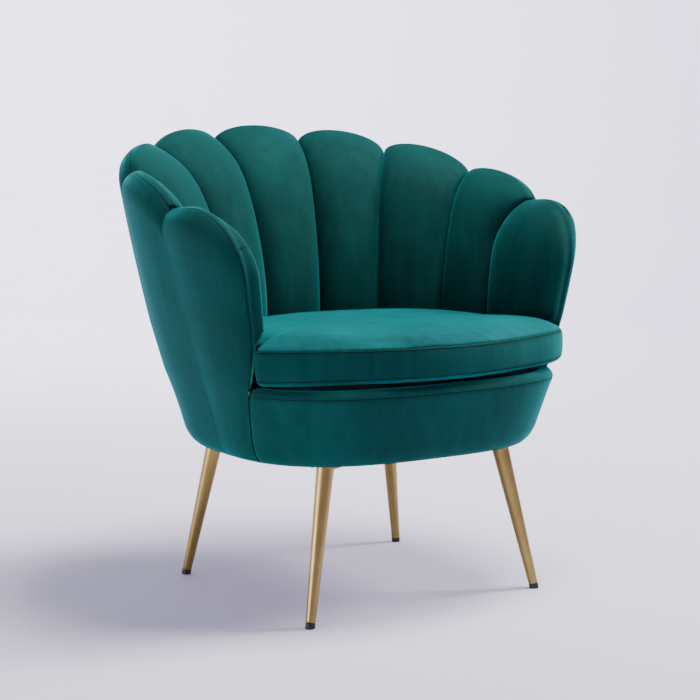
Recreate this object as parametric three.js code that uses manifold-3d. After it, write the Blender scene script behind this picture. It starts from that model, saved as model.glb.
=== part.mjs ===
// Scallop back chair: a padded tub with nine upright channels, a loose seat cushion and four splayed legs.
// Millimetres, +Z up, front toward -Y. A bearing is an angle about the body's upright axis, from the back
// toward +X.
import * as THREE from "three";
import { mergeVertices } from "three/addons/utils/BufferGeometryUtils.js";
import Module from "manifold-3d";

const degree = Math.PI / 180;

// Body outline at belt height, and how far it flares to the crest and draws in to the base
const baseHeight = 248.8;
const beltHeight = 372;
const crestHeight = 780;
const beltHalfWidth = 312;
const beltHalfBack = 297.5;
const beltHalfFront = 259;
const sideFlare = 114.6;
const backFlare = 90;
const frontFlare = 40.9;
const taperShare = 0.49;
const taperDepth = 48.2;
const baseRollDepth = 17.3;
const baseRollHeight = 32.3;
const squareHeight = 450;
const squarePower = 2.84;
const crestPower = 2.06;

// Channels: crest and valley heights and their bearings, from the middle of the back outward
const peakHeights = [780, 770.5, 741, 700, 650];
const valleyHeights = [747.5, 728, 692.5, 645];
const grooveBearings = [14, 39.4, 63.3, 87].map((angle) => angle * degree);
const armGrooveLean = 5 * degree;
const valleyDipBearing = 9 * degree;
const seatTopRise = 81;
const channelFootGap = 0.7;
const seatHalfWidth = 303;
const seatHalfBack = 236;
const seatHalfFront = 650;
const seatPower = 1.85;
const crownDepth = 27;
const armCrownWidth = 140;
const crownPower = 2.4;
const crownRoundness = 0.6;
const leanShare = 0.62;
const leanPower = 1.8;
const rollPower = 12;
const armRollLength = 190;

// Front edge of the arms: its bearing at the foot and at the arm, and the round top corner
const footFrontBearing = 110 * degree;
const armFrontBearing = 116.4 * degree;
const frontTurnStart = 270;
const frontTurnEnd = 470;
const armCornerRadius = 105;
const frontRollFade = 70;

// Roll of the padding over the top edge: how far in the crest lies, and how far down the roll starts
const sideRollDepth = 40;
const backRollDepth = 22.5;
const frontRollDepth = 9;
const rollHeight = 45;
const seamDrop = 2.85;
const seamGap = 0.5;
const facingWidth = 22;
const facingTopHeight = 590;
const facingFootHeight = 444;

// Layers from the outside in, and the gaps between pieces that touch
const touchGap = 0.3;
const channelGap = 0.25;
const coverThickness = 3;
const shellGap = 1;
const underGap = 0.8;
const hiddenGap = 2.4;
const boardThickness = 7;
const boardGap = 0.8;
const ringGap = 1.4;
const boardMargin = 24;
const padThickness = 6.2;
const railPadOverlap = 0.4;

// Front rail
const railRollDepth = 16;
const railRollHeight = 14;
const railInnerInset = 29;
const railBoardThickness = 18;
const railBoardLap = 40;

// Frame rings, posts, webbing and deck
const ringThickness = 18.4;
const seatRingDrop = 27;
const baseRingWidth = 86;
const seatRingWidth = 92;
const postSize = 38;
const strapWidth = 50;
const strapThickness = 1.5;
const strapSpacing = 108;
const strapLap = 17;
const strapCount = 3;
const deckPadThickness = 10.8;
const deckCoverThickness = 1.2;
const deckSideGap = 1.2;
const deckFrontGap = 6;
const dustCoverThickness = 0.8;
const dustCoverInset = 4;

// Seat cushion, its zip at the back and its foam
const cushionHalfWidth = 264;
const cushionHalfBack = 200;
const cushionFrontRadius = 408;
const cushionFrontReach = 267.4;
const earStartBearing = 114.6 * degree;
const earEndBearing = 117.8 * degree;
const cushionSeamRise = 11;
const cushionBorderHeight = 52;
const cushionCrown = 20;
const borderBulge = 4;
const lowerRounding = 9;
const cushionSkin = 2.5;
const cushionClearance = 5;
const cushionLift = 10;
const zipHalfAngle = 19 * degree;
const zipSliderAngle = 17 * degree;
const zipSlotHeight = 11;
const zipTapeThickness = 1.4;
const zipSliderThickness = 2.7;
const zipSliderHeight = 9;
const zipSliderLength = 12;
const zipStudRadius = 1.2;
const zipStudLength = 1.6;
const zipPullWidth = 5.5;
const zipPullLength = 20;
const zipPullThickness = 0.8;

// Legs: where each meets the floor and where its axis passes the plate
const frontFootX = 223.5;
const frontFootY = -183.4;
const backFootX = 223.5;
const backFootY = 225.6;
const frontTopX = 172;
const frontTopY = -148.4;
const backTopX = 178.5;
const backTopY = 191.4;
const legTopRadius = 14.3;
const legFootRadius = 7.75;
const legWall = 1.5;
const capRadius = 8;
const capLength = 9;
const plugLength = 14;
const plateSize = 54;
const plateThickness = 3;
const frontPlateShift = 8;
const backPlateShift = 20;
const screwSpacing = 18.4;
const screwRadius = 2;
const screwHoleRadius = 2.6;
const screwHeadRadius = 3.6;
const screwHeadHeight = 2.4;
const screwGrip = 14;

// Where the roll of the padding is stepped: drops below the top edge, outside, inside and behind the arms
const rollDrops = [7.1, 13.9];
const armRollDrops = [0, 1.5, 6, 15, 29, 50];
const armHiddenDrops = [32, 40, 50];
const railRollAngles = [0, 40 * degree, 68 * degree];

// Shares of a height, a crown or a size at which its rows and rings lie
const bodyRowShares = [0, 0.03, 0.1, 0.22, 0.4, 0.65, 1];
const sideRowShares = [0, 0.28, 0.62, 1];
const riseShares = [1, 0.992, 0.965, 0.91, 0.82, 0.67, 0.46, 0.22, 0];
const lowerShares = [0.06, 0.15, 0.3, 0.48, 0.68, 0.85, 1];
const crownInsetShares = [0.7, 2.4, 5.5];
const crownRiseShares = [0.32, 0.7, 0.93];
const seamMiddleShare = 0.25;
const lowerSkinShare = 0.6;
const upperSkinShare = 0.3;
const screwCrownShare = 0.6;
const crossSpacingShare = 0.86;
const crossShiftShare = 0.18;

// How finely curves are stepped
const petalColumns = 6;
const cornerSteps = 6;
const planSteps = 48;
const roundSides = 12;
const screwSides = 6;
const mergeDistance = 1e-3;
const cutOverrun = 40;

// Heights that follow from the sizes above
const taperHeight = (beltHeight - baseHeight) / taperShare;
const seatTopHeight = beltHeight + seatTopRise;
const channelFootHeight = beltHeight + channelFootGap;
const seatRingHeight = beltHeight - seatRingDrop;
const cushionLowerSeam = beltHeight + cushionSeamRise;
const cushionUpperSeam = cushionLowerSeam + cushionBorderHeight;
const plateTop = baseHeight - touchGap;
const plateBottom = plateTop - plateThickness;
const dustCoverBottom = baseHeight;
const bodyBottom = dustCoverBottom + dustCoverThickness + touchGap;
const baseRingTop = bodyBottom + ringThickness;
const seatRingTop = seatRingHeight + ringThickness;
const boardOuter = coverThickness + shellGap;
const boardInner = boardOuter + boardThickness;
const ringInset = boardInner + ringGap;
const channelBack = boardInner + hiddenGap;
const padOuter = coverThickness + shellGap + touchGap;
const padInner = padOuter + padThickness;
const lowerStrapBottom = seatRingTop + touchGap;
const upperStrapBottom = lowerStrapBottom + strapThickness + touchGap;
const deckPadBottom = upperStrapBottom + strapThickness + touchGap;
const deckCoverBottom = deckPadBottom + deckPadThickness + touchGap;
const cushionBottomHeight = deckCoverBottom + deckCoverThickness + touchGap;
const borderMiddle = (cushionLowerSeam + cushionUpperSeam) / 2;
const armPeak = peakHeights[4];
const armCornerHeight = armPeak - armCornerRadius;
const zipRadius = cushionHalfWidth ** 2 / cushionHalfBack;
const zipCentreY = cushionHalfBack - zipRadius;

const wasm = await Module();
wasm.setup();

// Small helpers
const clamp = (value, low = 0, high = 1) => Math.min(Math.max(value, low), high);
const mix = (start, end, share) => start + (end - start) * share;
const smooth = (share) => clamp(share) ** 2 * (3 - 2 * clamp(share));
const spread = (start, end, steps) => Array.from({ length: steps + 1 }, (_, i) => mix(start, end, i / steps));
const easedSpread = (steps) => spread(0, Math.PI, steps).map((angle) => (1 - Math.cos(angle)) / 2);
const polar = (bearing, radius, height) => [radius * Math.sin(bearing), radius * Math.cos(bearing), height];

// A closed geometry with shared corners and its faces turned outward
function closed(geometry) {
  const plain = geometry.clone();
  plain.deleteAttribute("normal");
  plain.deleteAttribute("uv");
  const merged = mergeVertices(plain, mergeDistance);
  const place = merged.attributes.position;
  const order = merged.index.array;
  const corners = [new THREE.Vector3(), new THREE.Vector3(), new THREE.Vector3()];
  let volume = 0;
  for (let i = 0; i < order.length; i += 3) {
    corners.forEach((corner, k) => corner.fromBufferAttribute(place, order[i + k]));
    volume += corners[0].dot(corners[1].cross(corners[2]));
  }
  if (volume < 0) {
    for (let i = 0; i < order.length; i += 3) {
      [order[i + 1], order[i + 2]] = [order[i + 2], order[i + 1]];
    }
  }
  return merged;
}

function toSolid(geometry) {
  const whole = closed(geometry);
  const vertProperties = whole.attributes.position.array;
  return new wasm.Manifold(
    new wasm.Mesh({ numProp: 3, vertProperties, triVerts: new Uint32Array(whole.index.array) }),
  );
}

function toGeometry(solid) {
  const mesh = solid.getMesh();
  const places = new Float32Array(mesh.numVert * 3);
  for (let i = 0; i < mesh.numVert; i++) {
    places.set(mesh.vertProperties.subarray(i * mesh.numProp, i * mesh.numProp + 3), i * 3);
  }
  const geometry = new THREE.BufferGeometry();
  geometry.setAttribute("position", new THREE.BufferAttribute(places, 3));
  geometry.setIndex(new THREE.BufferAttribute(new Uint32Array(mesh.triVerts), 1));
  return geometry;
}

// A closed body between two grids of points, joined round their four edges
function slab(columns, rows, front, back) {
  const across = columns.length - 1;
  const up = rows.length - 1;
  const places = [];
  const order = [];
  for (const face of [front, back]) {
    rows.forEach((row) => columns.forEach((column) => places.push(...face(column, row))));
  }
  const at = (face, i, j) => (face * (up + 1) + j) * (across + 1) + i;
  const quad = (a, b, c, d) => order.push(a, b, c, a, c, d);
  for (let j = 0; j < up; j++) {
    for (let i = 0; i < across; i++) {
      quad(at(0, i, j), at(0, i + 1, j), at(0, i + 1, j + 1), at(0, i, j + 1));
      quad(at(1, i, j), at(1, i, j + 1), at(1, i + 1, j + 1), at(1, i + 1, j));
    }
    quad(at(0, 0, j), at(0, 0, j + 1), at(1, 0, j + 1), at(1, 0, j));
    quad(at(0, across, j), at(1, across, j), at(1, across, j + 1), at(0, across, j + 1));
  }
  for (let i = 0; i < across; i++) {
    quad(at(0, i, 0), at(1, i, 0), at(1, i + 1, 0), at(0, i + 1, 0));
    quad(at(0, i, up), at(0, i + 1, up), at(1, i + 1, up), at(1, i, up));
  }
  const geometry = new THREE.BufferGeometry();
  geometry.setAttribute("position", new THREE.Float32BufferAttribute(places, 3));
  geometry.setIndex(order);
  return closed(geometry);
}

// The body's half sizes at a height, and its radius at a bearing
function bodyHalves(height) {
  const above = (height - beltHeight) / (crestHeight - beltHeight);
  const flare = Math.max(above, 0);
  const below = clamp((beltHeight - height) / taperHeight);
  const edge = clamp((baseHeight + baseRollHeight - height) / baseRollHeight);
  const drawnIn = taperDepth * (1 - (1 - below) ** 2) + baseRollDepth * (1 - Math.sqrt(1 - edge ** 2));
  return {
    width: beltHalfWidth + sideFlare * flare - drawnIn,
    back: beltHalfBack + backFlare * flare - drawnIn,
    front: beltHalfFront + frontFlare * flare - drawnIn,
    power: mix(squarePower, crestPower, clamp((height - squareHeight) / (crestHeight - squareHeight))),
  };
}

function bodyRadius(bearing, height, inset = 0) {
  const { width, back, front, power } = bodyHalves(height);
  const along = Math.cos(bearing);
  const sideTerm = Math.abs(Math.sin(bearing)) / (width - inset);
  const endTerm = Math.abs(along) / ((along > 0 ? back : front) - inset);
  return (sideTerm ** power + endTerm ** power) ** (-1 / power);
}

const frontBearing = (height) =>
  mix(footFrontBearing, armFrontBearing, smooth((height - frontTurnStart) / (frontTurnEnd - frontTurnStart)));
const armRadius = bodyRadius(armFrontBearing, armCornerHeight);

// Bearing of the boundary outside the channel that lies so many places from the middle
function grooveBearing(place, height) {
  if (place > 3) return frontBearing(height);
  const foot = (armPeak - height) / (armPeak - seatTopHeight);
  return grooveBearings[place] - (place === 3 ? armGrooveLean * foot : 0);
}

// Height of a back channel's top, a shallow arch over the line between its two valleys
function archTop(place, share) {
  const outer = valleyHeights[place];
  const inner = valleyHeights[Math.max(place - 1, 0)];
  const rise = peakHeights[place] - (inner + outer) / 2;
  return mix(inner, outer, share) + rise * Math.sqrt(Math.max(1 - (2 * share - 1) ** 2, 0));
}

function crestTop(bearing) {
  const turn = Math.abs(bearing);
  const place = grooveBearings.findIndex((limit) => turn <= limit);
  if (place === 0) return archTop(0, (bearing / grooveBearings[0] + 1) / 2);
  const from = grooveBearings[place - 1];
  return archTop(place, (turn - from) / (grooveBearings[place] - from));
}

// Distance to the top and front edge of an arm, with the direction toward that edge
function armEdge(bearing, height) {
  const turn = Math.abs(bearing);
  const across = Math.max((turn - frontBearing(height)) * armRadius + armCornerRadius, 0);
  const up = Math.max(height - armCornerHeight, 0);
  const reach = Math.hypot(across, up);
  const dip = 1 - clamp((turn - grooveBearings[3]) / valleyDipBearing);
  const drop = turn > grooveBearings[3] ? (armPeak - valleyHeights[3]) * dip ** 2 : 0;
  const distance = Math.max(armCornerRadius - reach - drop, 0);
  return { distance, turn: reach ? across / reach : 0, rise: reach ? up / reach : 1 };
}

function edgeAt(bearing, height) {
  if (Math.abs(bearing) > grooveBearings[3]) return armEdge(bearing, height);
  return { distance: Math.max(crestTop(bearing) - height, 0), turn: 0, rise: 1 };
}

function rollDepth(bearing, height, edge) {
  const along = Math.cos(bearing);
  if (along > 0 && edge.turn === 0) return mix(sideRollDepth, backRollDepth, along ** 2);
  const front = frontRollDepth * clamp((height - beltHeight) / frontRollFade);
  return mix(sideRollDepth, front, edge.turn ** 2);
}

// A point on the outer skin, or so deep under it, rolled in toward the top and front edge
function skinPoint(bearing, height, depth, edge = edgeAt(bearing, height)) {
  const tilt = clamp(1 - edge.distance / rollHeight);
  const level = Math.sqrt(1 - tilt ** 2);
  const side = Math.sign(bearing) || 1;
  const turned = bearing - (side * depth * tilt * edge.turn) / armRadius;
  const lowered = height - depth * tilt * edge.rise;
  const inset = rollDepth(bearing, height, edge) * (1 - level) + depth * level;
  return polar(turned, bodyRadius(turned, lowered) - inset, lowered);
}

// Inner faces
function seatRadius(bearing) {
  const along = Math.cos(bearing);
  const sideTerm = Math.abs(Math.sin(bearing)) / seatHalfWidth;
  const endTerm = Math.abs(along) / (along > 0 ? seatHalfBack : seatHalfFront);
  return (sideTerm ** seatPower + endTerm ** seatPower) ** (-1 / seatPower);
}

const crownShare = (share) => Math.max(1 - Math.abs(2 * share - 1) ** crownPower, 0) ** crownRoundness;

function backChannelPoint(bearing, height, share, top) {
  const seat = seatRadius(bearing) - crownDepth * crownShare(share);
  const crest = bodyRadius(bearing, top) - rollDepth(bearing, top, { turn: 0 });
  const rise = clamp((height - seatTopHeight) / (top - seatTopHeight));
  const lean = leanShare * rise ** leanPower;
  return polar(bearing, mix(seat, crest, lean + (1 - lean) * rise ** rollPower), height);
}

function armChannelPoint(bearing, height, distance) {
  const turn = Math.abs(bearing);
  const share = clamp(((turn - grooveBearing(3, height)) * armRadius) / armCrownWidth, 0, 1 / 2);
  const seat = seatRadius(bearing) - crownDepth * crownShare(share);
  const rise = clamp((height - seatTopHeight) / (armPeak - seatTopHeight));
  const top = { turn: 0, rise: 1, distance: 0 };
  const crest = bodyRadius(bearing, armPeak) - rollDepth(Math.PI / 2, armPeak, top);
  const leaned = mix(seat, crest, leanShare * rise ** leanPower);
  const edge = bodyRadius(bearing, height) - rollDepth(bearing, height, armEdge(bearing, height));
  return polar(bearing, mix(leaned, edge, clamp(1 - distance / armRollLength) ** rollPower), height);
}

// Drops below the top edge at which the roll is stepped, outside and inside
const outerDrops = [seamDrop, ...rollDrops, boardMargin];
const channelSeamDrop = seamDrop - seamGap;
const underDrops = [channelSeamDrop, outerDrops[1], outerDrops[2], boardMargin - hiddenGap];

// A back channel: rows run from its top seam over the crest and down to its foot
function backChannel(index) {
  const place = Math.abs(index);
  const side = Math.sign(index) || 1;
  const columns = easedSpread(petalColumns);
  const rows = spread(0, 11, 11);
  const inner = (height) => (place ? grooveBearing(place - 1, height) : -grooveBearing(0, height));
  const gapAngle = channelGap / seatHalfBack;
  const bearingAt = (share, height) =>
    side * mix(inner(height) + gapAngle, grooveBearing(place, height) - gapAngle, share);
  const front = (share, row) => {
    const top = archTop(place, share);
    if (row < 2) {
      const height = top - channelSeamDrop * (row ? seamMiddleShare : 1);
      return skinPoint(bearingAt(share, height), height, 0, { distance: top - height, turn: 0, rise: 1 });
    }
    const height = row < 11 ? mix(seatTopHeight, top, riseShares[row - 2]) : channelFootHeight;
    return backChannelPoint(bearingAt(share, height), height, share, top);
  };
  const back = (share, row) => {
    const top = archTop(place, share);
    if (row < 4) {
      const height = top - underDrops[row];
      const edge = { distance: underDrops[row], turn: 0, rise: 1 };
      return skinPoint(bearingAt(share, height), height, coverThickness + (row ? hiddenGap : underGap), edge);
    }
    const shelf = top - underDrops[3];
    const height = row === 4 ? shelf : mix(shelf, channelFootHeight, lowerShares[row - 5]);
    const edge = { distance: top - height, turn: 0, rise: 1 };
    return skinPoint(bearingAt(share, height), height, channelBack, edge);
  };
  return slab(columns, rows, front, back);
}

// Stations along the top and front edge of an arm: places on the edge, and the direction out of it
function armStations() {
  const start = (grooveBearings[3] - armFrontBearing) * armRadius + armCornerRadius;
  const top = spread(start, 0, 3)
    .slice(0, 3)
    .map((across) => ({ across, height: armPeak, turn: 0, rise: 1 }));
  const corner = spread(0, Math.PI / 2, cornerSteps).map((angle) => ({
    across: armCornerRadius * Math.sin(angle),
    height: armCornerHeight + armCornerRadius * Math.cos(angle),
    turn: Math.sin(angle),
    rise: Math.cos(angle),
  }));
  const front = spread(armCornerHeight, channelFootHeight, 5)
    .slice(1)
    .map((height) => ({ across: armCornerRadius, height, turn: 1, rise: 0 }));
  return [...top, ...corner, ...front];
}

const armBearing = (across, height) => frontBearing(height) + (across - armCornerRadius) / armRadius;

function armChannel(side) {
  const stations = armStations();
  const columns = stations.map((_, i) => i);
  const rows = spread(0, 9, 9);
  const innerDrops = [channelSeamDrop, channelSeamDrop * seamMiddleShare, ...armRollDrops];
  const hiddenDrops = [...underDrops, underDrops[3], ...armHiddenDrops];
  const shoulder = armPeak - innerDrops[7];
  const gapAngle = channelGap / seatHalfBack;
  const grooveAt = (height) => grooveBearing(3, height) + gapAngle;
  const place = (column, row, drops) => {
    const { across, height, turn, rise } = stations[column];
    const drop = drops[Math.min(row, 7)];
    const dip = 1 - clamp((armBearing(across, height) - grooveBearings[3]) / valleyDipBearing);
    const sag = rise === 1 ? (armPeak - valleyHeights[3]) * dip ** 2 : 0;
    const low = Math.max(height - drop * rise - sag, channelFootHeight);
    const bearing = Math.max(armBearing(across - drop * turn, low), grooveAt(low));
    if (row < 8) return { bearing: column ? bearing : grooveAt(low), height: low, drop };
    const foot = mix(shoulder, channelFootHeight, column / (columns.length - 1));
    const share = (row - 7) / 2;
    const depth = mix(low, foot, share);
    const turned = mix(bearing, grooveAt(foot), share);
    return { bearing: column && row < 9 ? turned : grooveAt(depth), height: depth, drop };
  };
  const front = (column, row) => {
    const { bearing, height, drop } = place(column, row, innerDrops);
    const distance = row < 8 ? drop : armEdge(bearing, height).distance;
    const edge = { ...armEdge(bearing, height), distance };
    if (row < 2) return skinPoint(side * bearing, height, 0, edge);
    return armChannelPoint(side * bearing, height, distance);
  };
  const back = (column, row) => {
    const { bearing, height, drop } = place(column, row, hiddenDrops);
    const distance = row < 8 ? drop : armEdge(bearing, height).distance;
    const edge = { ...armEdge(bearing, height), distance };
    if (row < 1) return skinPoint(side * bearing, height, coverThickness + underGap, edge);
    if (row < 4) return skinPoint(side * bearing, height, coverThickness + hiddenGap, edge);
    return skinPoint(side * bearing, height, channelBack, edge);
  };
  return slab(columns, rows, front, back);
}

// Outer cover and back board: one panel round the back and both arms
function shellColumns(shares, perCorner) {
  const right = [];
  grooveBearings.forEach((to, place) => {
    const from = place ? grooveBearings[place - 1] : 0;
    const own = place ? shares : shares.filter((share) => share >= 1 / 2).map((share) => 2 * share - 1);
    own.slice(1).forEach((share) => right.push(mix(from, to, share)));
  });
  const channels = right.map((bearing) => ({ bearing }));
  const arm = spread(0, 1, perCorner / 2).slice(1).map((share) => ({ share }));
  const corner = spread(0, Math.PI / 2, perCorner).slice(1).map((angle) => ({ share: 1, angle }));
  const half = [...channels, ...arm, ...corner];
  const left = [...half].reverse().map((column) => ({ ...column, side: -1 }));
  return [...left, { bearing: 0, side: 1 }, ...half.map((column) => ({ ...column, side: 1 }))];
}

// A column keeps to a bearing, to a share of the way along the arm, or to an angle round its corner
function columnBearing({ bearing, share, angle = 0, side }, height, margin) {
  if (share === undefined) return side * bearing;
  const across = (armCornerRadius - margin) * Math.sin(angle);
  return side * mix(grooveBearings[3], armBearing(across, height), share);
}

function columnTop(column, margin) {
  if (column.share === undefined) return crestTop(column.bearing) - margin;
  if (column.angle) return armCornerHeight + (armCornerRadius - margin) * Math.cos(column.angle);
  const turn = columnBearing({ ...column, side: 1 }, armPeak, margin);
  const dip = 1 - clamp((turn - grooveBearings[3]) / valleyDipBearing);
  return armPeak - (armPeak - valleyHeights[3]) * dip ** 2 - margin;
}

function shellPoint(column, row, drops, depth) {
  const margin = drops[0];
  const top = columnTop(column, margin);
  const shoulder = top - (rollHeight - margin);
  const rolled = baseHeight + baseRollHeight;
  const lowRows = bodyRowShares.length;
  const foot = mix(bodyBottom, rolled, bodyRowShares[row] / bodyRowShares[3]);
  const flank = mix(rolled, shoulder, sideRowShares[row - 3]);
  const drop = drops[drops.length - 1 - (row - lowRows)] - margin;
  const height = row >= lowRows ? top - drop : row < 4 ? foot : flank;
  const bearing = columnBearing(column, height, margin);
  return skinPoint(bearing, height, depth, edgeAt(bearing, height));
}

function shell(columns, drops, outer, inner) {
  const rows = spread(0, bodyRowShares.length + drops.length - 1, bodyRowShares.length + drops.length - 1);
  return slab(
    columns,
    rows,
    (column, row) => shellPoint(column, row, drops, outer),
    (column, row) => shellPoint(column, row, drops, inner),
  );
}

const coverColumns = shellColumns(easedSpread(petalColumns), cornerSteps);
const boardColumns = shellColumns(spread(0, 1, 4), 4);
const outerCover = () => shell(coverColumns, outerDrops, 0, coverThickness);
const backBoard = () => shell(boardColumns, [boardMargin], boardOuter, boardInner);

// The room of the cover and of the board, which the pieces inside keep clear of
const coverRoom = () => {
  const drops = [channelSeamDrop, ...outerDrops.slice(1)];
  return toSolid(shell(coverColumns, drops, -seamDrop, coverThickness + touchGap));
};
const boardRoom = () =>
  toSolid(shell(boardColumns, [boardMargin - railPadOverlap], boardOuter - seamDrop, boardInner + touchGap));

// The largest body of a cut solid, without the slivers that a cut can leave
function mainBody(solid) {
  const bodies = solid.decompose();
  return bodies.reduce((best, body) => (body.volume() > best.volume() ? body : best));
}

// Front rail: cover and pad roll over the top edge, the board stands between the two rings
function railHeights() {
  const low = bodyRowShares
    .slice(0, 4)
    .map((share) => mix(bodyBottom, baseHeight + baseRollHeight, share / bodyRowShares[3]));
  const rolled = railRollAngles.map((angle) => beltHeight - railRollHeight * (1 - Math.sin(angle)));
  return [...low, (low[3] + rolled[0]) / 2, ...rolled, beltHeight, beltHeight];
}

function railPoint(share, row, lap, depth) {
  const heights = railHeights();
  const height = heights[row];
  const last = row === heights.length - 1;
  const start = frontBearing(height) + lap / armRadius;
  const bearing = mix(start, 2 * Math.PI - start, share);
  const tilt = clamp(1 - (beltHeight - height) / railRollHeight);
  const level = Math.sqrt(1 - tilt ** 2);
  const lowered = height - depth * tilt;
  const inset = last ? railInnerInset : railRollDepth * (1 - level) + depth * level;
  return polar(bearing, bodyRadius(bearing, lowered) - inset, lowered);
}

function railLayer(lap, outer, inner, columns) {
  const rows = spread(0, 9, 9);
  return slab(
    spread(0, 1, columns),
    rows,
    (share, row) => railPoint(share, row, lap, outer),
    (share, row) => inner(share, row, lap),
  );
}

// The pad's inner face stands before the seat ring's edge and turns in over its top
function padInnerPoint(share, row, lap) {
  const height = Math.min(railHeights()[row], seatRingTop + touchGap);
  const start = frontBearing(railHeights()[row]) + lap / armRadius;
  const inset = row < 7 ? padInner : mix(padInner, railInnerInset, (row - 6) / 3);
  const bearing = mix(start, 2 * Math.PI - start, share);
  return polar(bearing, bodyRadius(bearing, height) - inset, height);
}

function railBoard() {
  const start = frontBearing(beltHeight) - railBoardLap / armRadius;
  const point = (bearing, height, inset) => polar(bearing, bodyRadius(bearing, height, inset), height);
  const heights = [baseRingTop + touchGap, baseHeight + baseRollHeight, seatRingHeight - touchGap];
  return slab(
    spread(start, 2 * Math.PI - start, 12),
    heights,
    (bearing, height) => point(bearing, height, padInner + boardGap),
    (bearing, height) => point(bearing, height, padInner + boardGap + railBoardThickness),
  );
}

// Flat pieces cut to the body's plan
function planPoints(radiusAt, steps = planSteps) {
  return spread(2 * Math.PI, 0, steps)
    .slice(0, steps)
    .map((bearing) => new THREE.Vector2(...polar(bearing, radiusAt(bearing), 0).slice(0, 2)));
}

function flatPiece(outline, holes, bottom, thickness) {
  const shape = new THREE.Shape(outline);
  shape.holes = holes.map((hole) => new THREE.Path(hole));
  const geometry = new THREE.ExtrudeGeometry(shape, { depth: thickness, bevelEnabled: false });
  geometry.translate(0, 0, bottom);
  return closed(geometry);
}

const circle = (x, y, radius, sides) =>
  spread(0, 2 * Math.PI, sides)
    .slice(0, sides)
    .map((angle) => new THREE.Vector2(x + radius * Math.cos(angle), y + radius * Math.sin(angle)));

// Legs, plates and screws
const front = { y: frontFootY, topY: frontTopY, shift: frontPlateShift };
const back = { y: backFootY, topY: backTopY, shift: backPlateShift };
const legs = [
  { name: "front_left", x: -frontFootX, topX: -frontTopX, ...front },
  { name: "front_right", x: frontFootX, topX: frontTopX, ...front },
  { name: "back_left", x: -backFootX, topX: -backTopX, ...back },
  { name: "back_right", x: backFootX, topX: backTopX, ...back },
];
legs.forEach((leg) => {
  const reach = Math.hypot(leg.topX, leg.topY);
  leg.turn = Math.atan2(leg.topY, leg.topX);
  leg.plateX = leg.topX * (1 - leg.shift / reach);
  leg.plateY = leg.topY * (1 - leg.shift / reach);
  leg.axis = new THREE.Vector3(leg.topX - leg.x, leg.topY - leg.y, plateTop).normalize();
  leg.screws = [0, 1, 2, 3].map((corner) => {
    const angle = leg.turn + (corner + 1 / 2) * (Math.PI / 2);
    const away = screwSpacing * Math.SQRT2;
    return [leg.plateX + away * Math.cos(angle), leg.plateY + away * Math.sin(angle)];
  });
});
const screwPlaces = legs.flatMap((leg) => leg.screws);
const screwHoles = screwPlaces.map(([x, y]) => circle(x, y, screwHoleRadius, screwSides));

function turnedAlong(profile, sides, leg) {
  const points = profile.map(([radius, along]) => new THREE.Vector2(radius, along));
  const geometry = new THREE.LatheGeometry(points, sides);
  const upright = new THREE.Vector3(0, 1, 0);
  geometry.applyQuaternion(new THREE.Quaternion().setFromUnitVectors(upright, leg.axis));
  geometry.translate(leg.x, leg.y, 0);
  return toSolid(geometry);
}

function halfSpace(bottom, top) {
  const wide = beltHalfWidth * 4;
  const geometry = new THREE.BoxGeometry(wide, wide, top - bottom);
  geometry.translate(0, 0, (top + bottom) / 2);
  return toSolid(geometry);
}

function legTube(leg) {
  const start = capLength + touchGap;
  const end = plateTop / leg.axis.z + legTopRadius;
  const profile = [
    [legFootRadius, start],
    [legTopRadius, end],
    [legTopRadius - legWall, end],
    [legFootRadius - legWall, start],
    [legFootRadius, start],
  ];
  const overrun = halfSpace(plateTop - plateThickness / 2, plateTop + cutOverrun * 2);
  const tube = turnedAlong(profile, roundSides, leg).subtract(overrun);
  const half = plateSize / 2;
  const corners = [[-1, -1], [1, -1], [1, 1], [-1, 1]];
  const cornerPoints = corners.map(([across, along]) => new THREE.Vector2(across * half, along * half));
  const plate = new THREE.Shape(cornerPoints);
  const hole = ([across, along]) =>
    circle(across * screwSpacing, along * screwSpacing, screwHoleRadius, screwSides);
  plate.holes = corners.map((corner) => new THREE.Path(hole(corner)));
  const sheet = new THREE.ExtrudeGeometry(plate, { depth: plateThickness, bevelEnabled: false });
  sheet.rotateZ(leg.turn);
  sheet.translate(leg.plateX, leg.plateY, plateBottom);
  return toGeometry(toSolid(sheet).add(tube));
}

function footCap(leg) {
  const plugRadius = legFootRadius - legWall - touchGap;
  const profile = [
    [0, -capLength],
    [capRadius, -capLength],
    [capRadius, capLength],
    [plugRadius, capLength],
    [plugRadius, capLength + plugLength],
    [0, capLength + plugLength],
  ];
  return toGeometry(turnedAlong(profile, roundSides, leg).subtract(halfSpace(-cutOverrun, 0)));
}

function screw(x, y) {
  const headTop = plateBottom - touchGap;
  const tip = plateTop + screwGrip;
  const profile = [
    [0, headTop - screwHeadHeight],
    [screwHeadRadius * screwCrownShare, headTop - screwHeadHeight],
    [screwHeadRadius, headTop - screwHeadHeight / 3],
    [screwHeadRadius, headTop],
    [screwRadius, headTop],
    [screwRadius, tip],
    [0, tip + screwRadius],
  ];
  const geometry = new THREE.LatheGeometry(
    profile.map(([radius, height]) => new THREE.Vector2(radius, height)),
    screwSides,
  );
  geometry.rotateX(Math.PI / 2);
  geometry.rotateZ(Math.PI / screwSides);
  geometry.translate(x, y, 0);
  return closed(geometry);
}

// Webbing straps from edge to edge of the seat ring's opening
const strapInset = seatRingWidth + ringInset - strapLap;

function spanAt(share, lengthwise) {
  const { width, back, front, power } = bodyHalves(seatRingHeight);
  const half = (size) => size - strapInset;
  const root = (across) => (1 - across ** power) ** (1 / power);
  if (lengthwise) {
    const reach = root((Math.abs(share) + strapWidth / 2) / half(width));
    return [-half(front) * reach, half(back) * reach];
  }
  const end = share > 0 ? half(back) : half(front);
  const reach = half(width) * root((Math.abs(share) + strapWidth / 2) / end);
  return [-reach, reach];
}

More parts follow.
